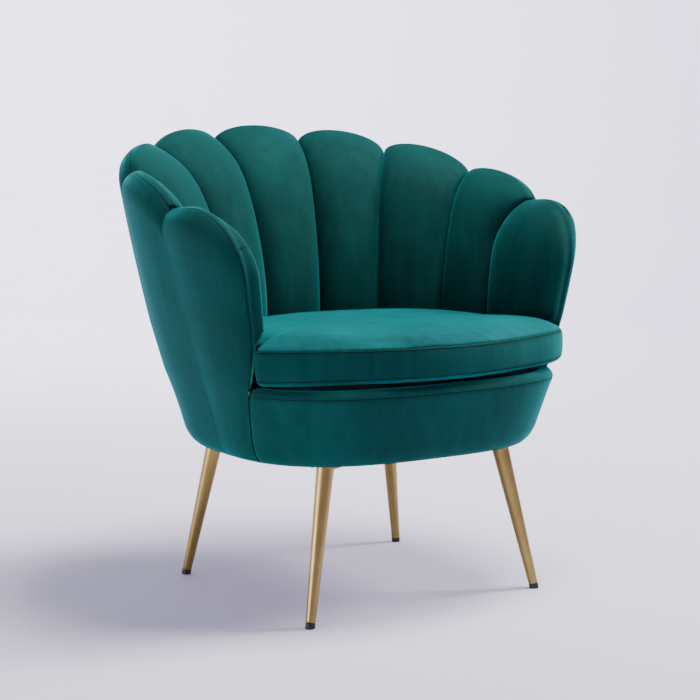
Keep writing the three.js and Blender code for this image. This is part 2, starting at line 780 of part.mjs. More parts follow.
function strap(place, lengthwise, bottom) {
  const [from, to] = spanAt(place, lengthwise);
  const size = lengthwise ? [strapWidth, to - from] : [to - from, strapWidth];
  const geometry = new THREE.BoxGeometry(...size, strapThickness);
  const middle = lengthwise ? [place, (from + to) / 2] : [(from + to) / 2, place];
  geometry.translate(...middle, bottom + strapThickness / 2);
  return closed(geometry);
}

// Seat cushion: plan radius at a bearing, with ears in front of the arm ends
function cushionRadius(bearing) {
  const turn = Math.abs(Math.atan2(Math.sin(bearing), Math.cos(bearing)));
  const along = Math.cos(turn);
  const across = Math.sin(turn);
  const back = 1 / Math.hypot(across / cushionHalfWidth, along / cushionHalfBack);
  const side = across ? cushionHalfWidth / across : cushionFrontReach;
  const centre = cushionFrontRadius - cushionFrontReach;
  const front = centre * along + Math.sqrt(cushionFrontRadius ** 2 - (centre * across) ** 2);
  if (turn < Math.PI / 2) return back;
  const ear = smooth((turn - earStartBearing) / (earEndBearing - earStartBearing));
  return mix(Math.min(side, front), front, ear);
}

const cushionBearings = (() => {
  const half = [
    ...spread(0, Math.PI / 2, 9),
    ...spread(Math.PI / 2, earStartBearing, 3).slice(1),
    ...spread(earStartBearing, earEndBearing, 3).slice(1),
    ...spread(earEndBearing, Math.PI, 7).slice(1),
  ];
  return [...half, ...half.slice(1, -1).reverse().map((bearing) => 2 * Math.PI - bearing)];
})();

function cushionBody(skin, rings) {
  const places = [0, 0, rings[0].height];
  rings.forEach(({ inset, height, bulge }) =>
    cushionBearings.forEach((bearing) => {
      const forward = clamp(-Math.cos(bearing));
      places.push(...polar(bearing, cushionRadius(bearing) - inset - skin + (bulge ?? 0) * forward, height));
    }),
  );
  places.push(0, 0, rings[rings.length - 1].height + (rings[rings.length - 1].rise ?? 0));
  const around = cushionBearings.length;
  const at = (ring, step) => 1 + ring * around + (step % around);
  const order = [];
  for (let step = 0; step < around; step++) {
    order.push(0, at(0, step), at(0, step + 1));
    for (let ring = 0; ring + 1 < rings.length; ring++) {
      order.push(at(ring, step), at(ring + 1, step), at(ring + 1, step + 1));
      order.push(at(ring, step), at(ring + 1, step + 1), at(ring, step + 1));
    }
    order.push(places.length / 3 - 1, at(rings.length - 1, step + 1), at(rings.length - 1, step));
  }
  const geometry = new THREE.BufferGeometry();
  geometry.setAttribute("position", new THREE.Float32BufferAttribute(places, 3));
  geometry.setIndex(order);
  return closed(geometry);
}

function cushionRings(skin) {
  const crown = crownInsetShares.map((share, i) => ({
    inset: cushionCrown * share,
    height: cushionUpperSeam + cushionCrown * crownRiseShares[i] - skin,
  }));
  crown[2].rise = cushionCrown * (1 - crownRiseShares[2]);
  return [
    { inset: lowerRounding, height: cushionBottomHeight + skin },
    { inset: 0, height: cushionLowerSeam + skin * lowerSkinShare },
    { inset: 0, height: borderMiddle, bulge: borderBulge },
    { inset: 0, height: cushionUpperSeam - skin * upperSkinShare },
    ...crown,
  ];
}

function zipArc(halfAngle, inner, outer, low, high, steps) {
  const point = (angle, radius, height) => [
    radius * Math.sin(angle),
    zipCentreY + radius * Math.cos(angle),
    height,
  ];
  return slab(
    spread(-halfAngle, halfAngle, steps),
    [low, high],
    (angle, height) => point(angle, outer, height),
    (angle, height) => point(angle, inner, height),
  );
}

function cushionCover() {
  const slot = zipArc(
    zipHalfAngle,
    zipRadius - cutOverrun / 4,
    zipRadius + cutOverrun / 4,
    borderMiddle - zipSlotHeight / 2,
    borderMiddle + zipSlotHeight / 2,
    10,
  );
  const outside = toSolid(cushionBody(0, cushionRings(0)));
  const within = toSolid(cushionBody(cushionSkin, cushionRings(cushionSkin)));
  return toGeometry(outside.subtract(within).subtract(toSolid(slot)));
}

// Room kept free round the cushion and along the start of its way out
function cushionRoom() {
  const reach = (bearing) => cushionRadius(bearing) + borderBulge + cushionClearance;
  const outline = planPoints(reach, planSteps * 3);
  const bottom = channelFootHeight - cutOverrun;
  return toSolid(flatPiece(outline, [], bottom, cushionUpperSeam + cushionLift - bottom));
}

// Arm facings: the front of each arm's padding, below the cross seam
function facingRoom(side, spare) {
  const width = facingWidth + spare;
  const heights = spread(facingFootHeight - spare, facingTopHeight + spare, 8);
  const ends = [-width / armRadius, cutOverrun / armRadius];
  const point = (share, height, radius) => polar(side * (frontBearing(height) + share), radius, height);
  return toSolid(
    slab(
      ends,
      heights,
      (share, height) => point(share, height, armRadius + cutOverrun * 2),
      (share, height) => point(share, height, armRadius - cutOverrun * 4),
    ),
  );
}

// Finishes
const finish = (color, roughness, metalness) => ({ color, roughness, metalness });
const velvet = finish(0x0c6b66, 0.85, 0);
const velvetLight = finish(0x0f7b76, 0.82, 0);
const foam = finish(0xd8d2b8, 0.95, 0);
const plywood = finish(0xb98d5c, 0.7, 0);
const webbing = finish(0x8c7f6b, 0.9, 0);
const blackCloth = finish(0x1b1b1d, 0.95, 0);
const brass = finish(0xb7924e, 0.32, 1);
const blackPlastic = finish(0x141414, 0.55, 0);
const steel = finish(0x9a9ca0, 0.35, 1);

const chair = new THREE.Group();

function addPiece(name, geometry, look) {
  const mesh = new THREE.Mesh(geometry, new THREE.MeshStandardMaterial(look));
  mesh.name = name;
  chair.add(mesh);
}

// Padding
const room = cushionRoom();
const skinRoom = coverRoom();
const innerRoom = skinRoom.add(boardRoom());
[-3, -2, -1, 0, 1, 2, 3].forEach((index) => {
  const whole = toSolid(backChannel(index)).subtract(innerRoom);
  addPiece(`channel_${index + 5}`, toGeometry(mainBody(whole)), velvet);
});
[-1, 1].forEach((side) => {
  const whole = mainBody(toSolid(armChannel(side)).subtract(room).subtract(innerRoom));
  const word = side < 0 ? "left" : "right";
  const kept = whole.subtract(facingRoom(side, touchGap));
  addPiece(`channel_${side < 0 ? 1 : 9}`, toGeometry(mainBody(kept)), velvet);
  addPiece(`arm_facing_${word}`, toGeometry(mainBody(whole.intersect(facingRoom(side, 0)))), velvet);
});
addPiece("outer_cover", outerCover(), velvet);
const coverInner = (share, row, lap) => railPoint(share, row, lap, coverThickness);
addPiece("rail_cover", railLayer(touchGap - channelSeamDrop, 0, coverInner, 14), velvet);
addPiece("rail_pad", railLayer(boardGap - boardMargin, padOuter, padInnerPoint, 12), foam);

// Frame
addPiece("back_board", toGeometry(mainBody(toSolid(backBoard()).subtract(skinRoom))), plywood);
addPiece("rail_board", railBoard(), plywood);
const bodyPlan = (height, inset) => planPoints((bearing) => bodyRadius(bearing, height, inset));
addPiece(
  "base_ring",
  flatPiece(
    bodyPlan(bodyBottom, ringInset),
    [bodyPlan(bodyBottom, ringInset + baseRingWidth), ...screwHoles],
    bodyBottom,
    ringThickness,
  ),
  plywood,
);
addPiece(
  "seat_ring",
  flatPiece(
    bodyPlan(seatRingHeight, ringInset),
    [bodyPlan(seatRingHeight, ringInset + seatRingWidth)],
    seatRingHeight,
    ringThickness,
  ),
  plywood,
);
legs.forEach((leg) => {
  const height = seatRingHeight - baseRingTop - 2 * touchGap;
  const post = new THREE.BoxGeometry(postSize, postSize, height);
  post.rotateZ(leg.turn);
  const inward = 1 - postSize / Math.hypot(leg.topX, leg.topY);
  post.translate(leg.topX * inward, leg.topY * inward, baseRingTop + touchGap + height / 2);
  addPiece(`post_${leg.name}`, closed(post), plywood);
});

// Seat platform
const strapPlaces = spread(-strapSpacing, strapSpacing, strapCount - 1);
strapPlaces.forEach((place, i) => {
  addPiece(`strap_long_${i + 1}`, strap(place, true, lowerStrapBottom), webbing);
});
strapPlaces.forEach((place, i) =>
  addPiece(
    `strap_cross_${i + 1}`,
    strap(place * crossSpacingShare + strapSpacing * crossShiftShare, false, upperStrapBottom),
    webbing,
  ),
);
const deckPlan = planPoints((bearing) => {
  const inside = seatRadius(bearing) - crownDepth - deckSideGap;
  const rail = bodyRadius(bearing, beltHeight) - railInnerInset - deckFrontGap;
  return Math.min(inside, rail);
});
addPiece("deck_pad", flatPiece(deckPlan, [], deckPadBottom, deckPadThickness), foam);
addPiece("deck_cover", flatPiece(deckPlan, [], deckCoverBottom, deckCoverThickness), blackCloth);
addPiece(
  "dust_cover",
  flatPiece(bodyPlan(bodyBottom, dustCoverInset), screwHoles, dustCoverBottom, dustCoverThickness),
  blackCloth,
);

// Loose cushion
addPiece("cushion_cover", cushionCover(), velvetLight);
const coreSkin = cushionSkin + touchGap;
addPiece("cushion_core", cushionBody(coreSkin, cushionRings(coreSkin)), foam);
const tapeOuter = zipRadius - cushionSkin / 2 + zipTapeThickness / 2;
const tapeHalf = zipSlotHeight / 2 - touchGap;
addPiece(
  "zip_tape",
  zipArc(
    zipHalfAngle - touchGap / zipRadius,
    tapeOuter - zipTapeThickness,
    tapeOuter,
    borderMiddle - tapeHalf,
    borderMiddle + tapeHalf,
    10,
  ),
  blackCloth,
);
const placeOnZip = (geometry) => {
  geometry.translate(0, -zipCentreY, 0);
  geometry.rotateZ(-zipSliderAngle);
  geometry.translate(0, zipCentreY, 0);
  return closed(geometry);
};
const sliderInner = tapeOuter + touchGap + zipCentreY;
const sliderOuter = sliderInner + zipSliderThickness;
const sliderBody = new THREE.BoxGeometry(zipSliderLength, zipSliderThickness, zipSliderHeight);
sliderBody.translate(0, (sliderInner + sliderOuter) / 2, borderMiddle);
const studLength = zipStudLength + touchGap;
const stud = new THREE.CylinderGeometry(zipStudRadius, zipStudRadius, studLength, screwSides);
stud.translate(0, sliderOuter + studLength / 2 - touchGap, borderMiddle);
addPiece("zip_slider", placeOnZip(toGeometry(toSolid(sliderBody).add(toSolid(stud)))), steel);
const tab = new THREE.Shape([
  new THREE.Vector2(-zipPullWidth / 2, -zipPullLength),
  new THREE.Vector2(zipPullWidth / 2, -zipPullLength),
  new THREE.Vector2(zipPullWidth / 2, zipPullWidth / 2),
  new THREE.Vector2(-zipPullWidth / 2, zipPullWidth / 2),
]);
tab.holes = [new THREE.Path(circle(0, 0, zipStudRadius + 2 * touchGap, screwSides))];
const pull = new THREE.ExtrudeGeometry(tab, { depth: zipPullThickness, bevelEnabled: false });
pull.rotateX(Math.PI / 2);
pull.translate(0, sliderOuter + touchGap + zipPullThickness, borderMiddle);
addPiece("zip_pull", placeOnZip(pull), steel);

// Legs, feet and screws
legs.forEach((leg) => {
  addPiece(`leg_${leg.name}`, legTube(leg), brass);
  addPiece(`foot_${leg.name}`, footCap(leg), blackPlastic);
  leg.screws.forEach(([x, y], i) => addPiece(`screw_${leg.name}_${i + 1}`, screw(x, y), steel));
});

// The origin is on the floor, under the middle of the chair
const bounds = new THREE.Box3().setFromObject(chair);
chair.position.y = -(bounds.min.y + bounds.max.y) / 2;

export default chair;
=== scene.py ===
import math

import bmesh
import bpy
import numpy as np
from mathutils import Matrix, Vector, noise
from mathutils.bvhtree import BVHTree


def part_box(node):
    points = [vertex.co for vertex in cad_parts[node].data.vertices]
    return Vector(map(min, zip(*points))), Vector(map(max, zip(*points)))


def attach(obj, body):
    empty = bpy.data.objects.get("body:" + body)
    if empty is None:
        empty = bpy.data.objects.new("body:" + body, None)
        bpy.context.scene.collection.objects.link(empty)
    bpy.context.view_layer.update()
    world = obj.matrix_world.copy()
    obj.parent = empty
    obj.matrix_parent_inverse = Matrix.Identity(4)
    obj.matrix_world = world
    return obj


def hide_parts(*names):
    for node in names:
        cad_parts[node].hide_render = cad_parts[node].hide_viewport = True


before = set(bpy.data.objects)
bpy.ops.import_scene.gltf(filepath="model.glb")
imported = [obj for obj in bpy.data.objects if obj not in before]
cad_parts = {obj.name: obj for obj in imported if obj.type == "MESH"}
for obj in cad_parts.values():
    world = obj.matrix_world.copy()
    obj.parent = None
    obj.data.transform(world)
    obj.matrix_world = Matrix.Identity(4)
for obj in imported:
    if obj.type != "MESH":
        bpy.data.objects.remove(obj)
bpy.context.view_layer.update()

degree = math.pi / 180
print("frame loaded,", len(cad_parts), "nodes")

# The tub's form in millimetres, about the body's own upright axis; a bearing turns from the back toward +X
tub = {
    "baseHeight": 248.8, "beltHeight": 372.0, "crestHeight": 780.0,
    "halfWidth": 312.0, "halfBack": 297.5, "halfFront": 259.0,
    "sideFlare": 114.6, "backFlare": 90.0, "frontFlare": 40.9,
    "taperHeight": 251.0, "taperDepth": 48.2,
    "baseRollDepth": 17.3, "baseRollHeight": 32.3,
    "squareHeight": 450.0, "squarePower": 2.84, "crestPower": 2.06,
}

# Peaks and valleys of the scallops, from the middle of the back outward, and how the channels lean
scallops = {
    "peaks": [780.0, 770.5, 741.0, 695.0, 650.0],
    "valleys": [747.5, 728.0, 688.0, 645.0],
    "grooves": [14 * degree, 39.4 * degree, 64.5 * degree, 89.8 * degree],
    "armGrooveLean": 7.8 * degree, "armLeanDrop": 95.0, "dipBearing": 9 * degree,
    "seatTop": 453.0, "foot": 372.7,
    "seatHalfWidth": 303.0, "seatHalfBack": 236.0, "seatHalfFront": 650.0, "seatPower": 1.85,
    "crownDepth": 27.0, "crownPower": 2.4, "crownRoundness": 0.6, "armCrownWidth": 140.0,
    "leanShare": 0.62, "leanPower": 1.8, "rollPower": 12, "armRollLength": 190.0,
    "sideRoll": 40.0, "backRoll": 22.5, "frontRoll": 9.0, "rollHeight": 45.0, "frontRollFade": 70.0,
    "seamDrop": 2.6,
}

arm = {
    "footFront": 110 * degree, "armFront": 116.4 * degree, "turnStart": 270.0, "turnEnd": 470.0,
    "cornerRadius": 113.0, "peak": 650.0, "cornerHeight": 537.0,
    "bandSwell": 18.0, "bandRise": 8.0, "bandFull": 26.0, "bandFade": 66.0,
    "bandFoot": 434.0, "bandFootFade": 28.0, "bandLift": 0.6,
    "leanSpread": 20 * degree, "shoulderDrop": 50.0, "inwardRows": 18, "rippleStart": 30.0,
}


def middle(name):
    low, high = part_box(name)
    return (low + high) / 2


# The body's axis stands 21.1 mm behind the middle between the front and back feet
bodyShift = (middle("foot_front_left").y + middle("foot_back_left").y) / 2 - 0.0211


# A point of the body in the frame's metres
def inRow(point):
    return (point[0] / 1000, point[1] / 1000 + bodyShift, point[2] / 1000)


def clamp(value, low=0.0, high=1.0):
    return min(max(value, low), high)


def mix(start, end, share):
    return start + (end - start) * share


def smooth(share):
    share = clamp(share)
    return share * share * (3 - 2 * share)


def polar(bearing, radius, height):
    return (radius * math.sin(bearing), radius * math.cos(bearing), height)


# The plan's radius at a bearing: an oval between a circle and a box, by its power
def ovalRadius(bearing, width, end, power):
    return ((abs(math.sin(bearing)) / width) ** power + (abs(math.cos(bearing)) / end) ** power) ** (-1 / power)


# The outer skin's radius: it flares above the belt and draws in below it
def bodyRadius(bearing, height):
    flare = max((height - tub["beltHeight"]) / (tub["crestHeight"] - tub["beltHeight"]), 0)
    below = clamp((tub["beltHeight"] - height) / tub["taperHeight"])
    edge = clamp((tub["baseHeight"] + tub["baseRollHeight"] - height) / tub["baseRollHeight"])
    drawnIn = tub["taperDepth"] * (1 - (1 - below) ** 2)
    drawnIn += tub["baseRollDepth"] * (1 - math.sqrt(1 - edge ** 2))
    width = tub["halfWidth"] + tub["sideFlare"] * flare - drawnIn
    half = "Back" if math.cos(bearing) > 0 else "Front"
    end = tub["half" + half] + tub[half.lower() + "Flare"] * flare - drawnIn
    rise = clamp((height - tub["squareHeight"]) / (tub["crestHeight"] - tub["squareHeight"]))
    power = mix(tub["squarePower"], tub["crestPower"], rise)
    return ovalRadius(bearing, width, end, power)


# The bearing of the arm's front edge, which opens out as it rises
def frontBearing(height):
    share = (height - arm["turnStart"]) / (arm["turnEnd"] - arm["turnStart"])
    return mix(arm["footFront"], arm["armFront"], smooth(share))


armRadius = bodyRadius(arm["armFront"], arm["cornerHeight"])
armGroove = scallops["grooves"][3]


# The bearing at a distance across the arm from where its front corner starts to turn
def armBearing(across, height):
    return frontBearing(height) + (across - arm["cornerRadius"]) / armRadius


# How far the arm's top edge sinks toward the valley beside its groove
def armDip(turn):
    dip = 1 - clamp((turn - armGroove) / scallops["dipBearing"])
    return (arm["peak"] - scallops["valleys"][3]) * dip ** 2


# Three grooves stand upright, and the one beside the arm leans toward the back as it goes down
def grooveBearing(place, height):
    low = clamp((arm["peak"] - height) / scallops["armLeanDrop"])
    return scallops["grooves"][place] - (scallops["armGrooveLean"] * (1 - (1 - low) ** 2) if place == 3 else 0)


# A scallop's top edge, at a share of the way from its inner to its outer valley
def archTop(place, share):
    outer = scallops["valleys"][place]
    inner = scallops["valleys"][max(place - 1, 0)]
    rise = scallops["peaks"][place] - (inner + outer) / 2
    return mix(inner, outer, share) + rise * math.sqrt(max(1 - (2 * share - 1) ** 2, 0))


def crestTop(bearing):
    turn = abs(bearing)
    grooves = scallops["grooves"]
    place = next(i for i, limit in enumerate(grooves) if turn <= limit + 1e-9)
    if place == 0:
        return archTop(0, (bearing / grooves[0] + 1) / 2)
    return archTop(place, (turn - grooves[place - 1]) / (grooves[place] - grooves[place - 1]))


# Distance from the arm's edge, and how far that edge faces forward and up there
def armEdge(bearing, height):
    turn = abs(bearing)
    across = max((turn - frontBearing(height)) * armRadius + arm["cornerRadius"], 0)
    up = max(height - arm["cornerHeight"], 0)
    reach = math.hypot(across, up)
    distance = max(arm["cornerRadius"] - reach - armDip(turn), 0)
    return (distance, across / reach if reach else 0, up / reach if reach else 1)


# The nearest edge at any bearing: the arm's, or straight up to the crest
def edgeAt(bearing, height):
    if abs(bearing) > armGroove:
        return armEdge(bearing, height)
    return (max(crestTop(bearing) - height, 0), 0, 1)


# How deep the top edge rolls in, less toward the back and the arm's front
def rollDepth(bearing, height, turn):
    along = math.cos(bearing)
    if along > 0 and turn == 0:
        return mix(scallops["sideRoll"], scallops["backRoll"], along ** 2)
    front = scallops["frontRoll"] * clamp((height - tub["beltHeight"]) / scallops["frontRollFade"])
    return mix(scallops["sideRoll"], front, turn ** 2)


# A point on the outer skin, or so deep under it, rolled in toward the top and front edge
def skinPoint(bearing, height, depth, edge):
    distance, turn, rise = edge
    tilt = clamp(1 - distance / scallops["rollHeight"])
    level = math.sqrt(1 - tilt ** 2)
    side = -1 if bearing < 0 else 1
    turned = bearing - side * depth * tilt * turn / armRadius
    lowered = height - depth * tilt * rise
    inset = rollDepth(bearing, height, turn) * (1 - level) + depth * level
    return polar(turned, bodyRadius(turned, lowered) - inset, lowered)


# The radius at the foot of the channels, round the seat
def seatRadius(bearing):
    end = scallops["seatHalfBack"] if math.cos(bearing) > 0 else scallops["seatHalfFront"]
    return ovalRadius(bearing, scallops["seatHalfWidth"], end, scallops["seatPower"])


# How full a channel is at a share of its width
def crownShare(share):
    return max(1 - abs(2 * share - 1) ** scallops["crownPower"], 0) ** scallops["crownRoundness"]


# Faces of two grids of points, one behind the other, joined round their four edges
def slabFaces(across, up):
    half, faces = across * up, []
    for j in range(up - 1):
        for i in range(across - 1):
            a = j * across + i
            faces.append((a, a + 1, a + across + 1, a + across))
            faces.append((half + a, half + a + across, half + a + across + 1, half + a + 1))
        for a in (j * across, (j + 1) * across - 1):
            faces.append((a, a + across, half + a + across, half + a))
    for i in range(across - 1):
        for a in (i, half - across + i):
            faces.append((a, half + a, half + a + 1, a + 1))
    return faces


# Faces of a form in rings round its middle point, closed by a last point unless it stays open
def ringFaces(rings, count, closed=True):
    faces, last = [], 1 + rings * count
    for k in range(count):
        other = (k + 1) % count
        faces.append((0, 1 + k, 1 + other))
        for j in range(rings - 1):
            a = 1 + j * count
            faces.append((a + k, a + count + k, a + count + other, a + other))
        if closed:
            a = last - count
            faces.append((a + k, last, a + other))
    return faces


# Faces of a tube in rings of points from one number on, with a flat cap at each end
def tubeFaces(rings, sides, first=0):
    faces = []
    for j in range(rings - 1):
        for k in range(sides):
            a, b = first + j * sides + k, first + j * sides + (k + 1) % sides
            faces.append((a, b, b + sides, a + sides))
    ends = (first, first + (rings - 1) * sides)
    return faces + [tuple(range(end, end + sides)) for end in ends]


# A closed padded form between a front and a back surface
def quilted(name, columns, rows, front, back):
    points = [inRow(face(c, r)) for face in (front, back) for r in rows for c in columns]
    return meshPiece(name, points, slabFaces(len(columns), len(rows)))


# A shaded mesh object with shared corners and its faces turned outward
def meshPiece(name, points, faces, merge=1e-5, sharp=None):
    mesh = bpy.data.meshes.new(name)
    mesh.from_pydata([tuple(p) for p in points], [], faces)
    work = bmesh.new()
    work.from_mesh(mesh)
    if merge:
        bmesh.ops.remove_doubles(work, verts=work.verts, dist=merge)
        bmesh.ops.dissolve_degenerate(work, edges=work.edges, dist=1e-6)
    bmesh.ops.recalc_face_normals(work, faces=work.faces)
    for face in work.faces:
        face.smooth = True
    work.to_mesh(mesh)
    work.free()
    if sharp:
        mesh.set_sharp_from_angle(angle=sharp * degree)
    made = bpy.data.objects.new(name, mesh)
    bpy.context.scene.collection.objects.link(made)
    return made


# Steps that lie closer together toward both ends
def cosineSteps(count):
    return [(1 - math.cos(math.pi * i / count)) / 2 for i in range(count + 1)]


def evenSteps(start, end, count):
    return [mix(start, end, i / count) for i in range(count + 1)]


# Back channels: seven pillows that roll over the crest and run down behind the seat
petal = {
    "columns": 30, "gap": 0.25, "backDepth": 13.4, "coverDepth": 3.8,
    "coverEdge": 3.0, "coverFade": 21.0,
    "ripple": 0.5, "rippleTurns": 3.4, "rippleSize": 95.0, "rippleRise": 0.45,
    "pucker": 1.1, "puckerLength": 55.0, "puckerStart": 8.0, "puckerWidth": 0.09, "puckerTurns": 0.42,
    "edgeShare": 0.12, "edgeDrop": 30.0, "fill": 0.85,
    "drops": [0, 0.35, 0.9, 1.8, 3.2, 5, 7.5, 10.5, 14, 18, 23, 29, 36, 44], "rows": 34,
}


# Slow unevenness of the padding under the cloth
def fabricRipple(bearing, height, seed):
    x, y, _ = polar(bearing, petal["rippleTurns"], 0)
    rise = height / petal["rippleSize"] * petal["rippleRise"]
    return noise.noise(Vector((x, y, rise + seed))) * petal["ripple"]


# The depth of a channel's back, which thins out toward the seam along its top
def channelDepth(drop):
    return mix(petal["coverDepth"], petal["backDepth"], smooth((drop - petal["coverEdge"]) / petal["coverFade"]))


# Small pulls in the fabric where it is gathered into the top of a groove
def pucker(share, drop):
    fade = math.exp(-drop / petal["puckerLength"]) * smooth(drop / petal["puckerStart"])
    side = math.exp(-min(share, 1 - share) / petal["puckerWidth"])
    return petal["pucker"] * fade * side * math.sin(drop * petal["puckerTurns"])


# The front of a back channel, from its foot to the rolled crest
def backChannelPoint(bearing, height, share, top, seed):
    seat = seatRadius(bearing) - scallops["crownDepth"] * crownShare(share)
    crest = bodyRadius(bearing, top) - rollDepth(bearing, top, 0)
    rise = clamp((height - scallops["seatTop"]) / (top - scallops["seatTop"]))
    lean = scallops["leanShare"] * rise ** scallops["leanPower"]
    radius = mix(seat, crest, lean + (1 - lean) * rise ** scallops["rollPower"])
    drop = top - height
    edge = smooth(min(share, 1 - share) / petal["edgeShare"]) * smooth(drop / petal["edgeDrop"])
    return polar(bearing, radius + fabricRipple(bearing, height, seed) * edge + pucker(share, drop), height)


def makePetal(index):
    place = abs(index)
    side = -1 if index < 0 else 1
    columns = cosineSteps(petal["columns"])
    outside = [scallops["seamDrop"] * s for s in (1, 0.8, 0.55, 0.3, 0.12)]
    rows = [("out", drop) for drop in outside]
    rows += [("in", drop) for drop in petal["drops"]]
    rows += [("low", share) for share in evenSteps(0, 1, petal["rows"])[1:]]
    gap = petal["gap"] / scallops["seatHalfBack"]

    def bearingAt(share, height):
        inner = grooveBearing(place - 1, height) if place else -grooveBearing(0, height)
        return side * mix(inner + gap, grooveBearing(place, height) - gap, share)

    def heightOf(share, row):
        top = archTop(place, share)
        kind, value = row
        low = top - petal["drops"][-1]
        return top, (top - value if kind != "low" else mix(low, scallops["foot"], value))

    def front(share, row):
        top, height = heightOf(share, row)
        bearing = bearingAt(share, height)
        if row[0] == "out":
            return skinPoint(bearing, height, 0, (top - height, 0, 1))
        return backChannelPoint(bearing, height, share, top, index * 1.7)

    def back(share, row):
        top, height = heightOf(share, row)
        drop = scallops["seamDrop"] + (0 if row[0] == "out" else top - height)
        height = max(top - drop, scallops["foot"])
        return skinPoint(bearingAt(share, height), height, channelDepth(drop), (drop, 0, 1))

    made = quilted(f"backPetal_{index + 5}", columns, rows, front, back)
    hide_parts(f"channel_{index + 5}")
    return made


petals = [makePetal(index) for index in range(-3, 4)]
print("back petals padded:", len(petals))

# The loose cushion's plan, which the padding of the arms makes room for
cushion = {
    "halfWidth": 264.0, "halfBack": 200.0, "frontRadius": 440.0, "frontReach": 267.4,
    "earStart": 114.6 * degree, "earEnd": 117.8 * degree, "earSwell": 15.0,
    "swellStart": 115.4, "swellRise": 2.4, "swellFull": 119.0, "swellFade": 26.0,
    "room": 5.5, "roomTop": 462.0, "roomFade": 14.0, "roomRadius": 300.0,
    "bottom": 379.9, "lowerSeam": 383.0, "upperSeam": 435.0, "top": 455.0, "bulge": 4.0,
    "voxel": 0.005, "pressure": 4.0, "stiffness": 30, "bending": 2, "steps": 20, "mostMove": 0.006,
    "lowPull": 1.6, "topPull": 2.2, "pullHeight": 2.4, "pullReach": 14.0, "pullFade": 9.0,
    "topStart": 3.0, "topFade": 8.0, "wave": 1.2, "fineWave": 0.35, "borderWave": 0.4, "lift": 0.3,
    "shrink": 3.0, "fill": 0.9,
}


# The cushion's edge: an oval back, a rounded front and two ears beside it
def cushionRadius(bearing):
    turn = abs(math.atan2(math.sin(bearing), math.cos(bearing)))
    along, across = math.cos(turn), math.sin(turn)
    if turn < math.pi / 2:
        return 1 / math.hypot(across / cushion["halfWidth"], along / cushion["halfBack"])
    side = cushion["halfWidth"] / across if across > 1e-6 else 1e6
    centre = cushion["frontRadius"] - cushion["frontReach"]
    front = centre * along + math.sqrt(cushion["frontRadius"] ** 2 - (centre * across) ** 2)
    ear = smooth((turn - cushion["earStart"]) / (cushion["earEnd"] - cushion["earStart"]))
    swell = cushion["earSwell"] * smooth((turn / degree - cushion["swellStart"]) / cushion["swellRise"])
    swell *= 1 - smooth((turn / degree - cushion["swellFull"]) / cushion["swellFade"])
    return mix(min(side, front), front, ear) + swell


# Padding gives way round the cushion: a point inside its room moves out, or back from the ear
def clearOfCushion(bearing, radius, height):
    share = smooth((cushion["roomTop"] - height) / cushion["roomFade"])
    if share <= 0:
        return bearing, radius
    turn, side = abs(bearing), -1 if bearing < 0 else 1
    room = cushion["room"]
    limit = cushion["earStart"] - room / cushion["roomRadius"]
    needed = max(cushionRadius(min(turn, limit)) + room, radius)
    if turn > limit:
        if cushionRadius(turn) + room > radius:
            turn = mix(turn, limit, share)
    return side * turn, mix(radius, needed, share)


# Arm channels: the outermost pillows, which turn down along the front of each arm
def armStations(fine):
    start = (armGroove - arm["armFront"]) * armRadius + arm["cornerRadius"]
    corner, peak, low = arm["cornerRadius"], arm["peak"], arm["cornerHeight"]
    stations = [(across, peak, 0.0, 1.0) for across in evenSteps(start, 0, 3 * fine)[:-1]]
    for angle in evenSteps(0, math.pi / 2, 5 * fine):
        turn, rise = math.sin(angle), math.cos(angle)
        stations.append((corner * turn, low + corner * rise, turn, rise))
    stations += [(corner, height, 1.0, 0.0) for height in evenSteps(low, scallops["foot"], 5 * fine)[1:]]
    return stations


# The inside of an arm, which rolls over its edge at a distance from it
def armChannelRadius(bearing, height, distance):
    turn = abs(bearing)
    share = clamp((turn - grooveBearing(3, height)) * armRadius / scallops["armCrownWidth"], 0, 0.5)
    seat = seatRadius(bearing) - scallops["crownDepth"] * crownShare(share)
    rise = clamp((height - scallops["seatTop"]) / (arm["peak"] - scallops["seatTop"]))
    crest = bodyRadius(bearing, arm["peak"]) - rollDepth(math.pi / 2, arm["peak"], 0)
    leaned = mix(seat, crest, scallops["leanShare"] * rise ** scallops["leanPower"])
    edge = bodyRadius(bearing, height) - rollDepth(bearing, height, armEdge(bearing, height)[1])
    return mix(leaned, edge, clamp(1 - distance / scallops["armRollLength"]) ** scallops["rollPower"])


# How far the front band of an arm swells forward past its seam, at a distance inward from that seam
def bandSwell(distance, height, turn):
    reach = smooth(distance / arm["bandRise"]) * (1 - smooth((distance - arm["bandFull"]) / arm["bandFade"]))
    return arm["bandSwell"] * reach * turn ** 2 * smooth((height - arm["bandFoot"]) / arm["bandFootFade"])


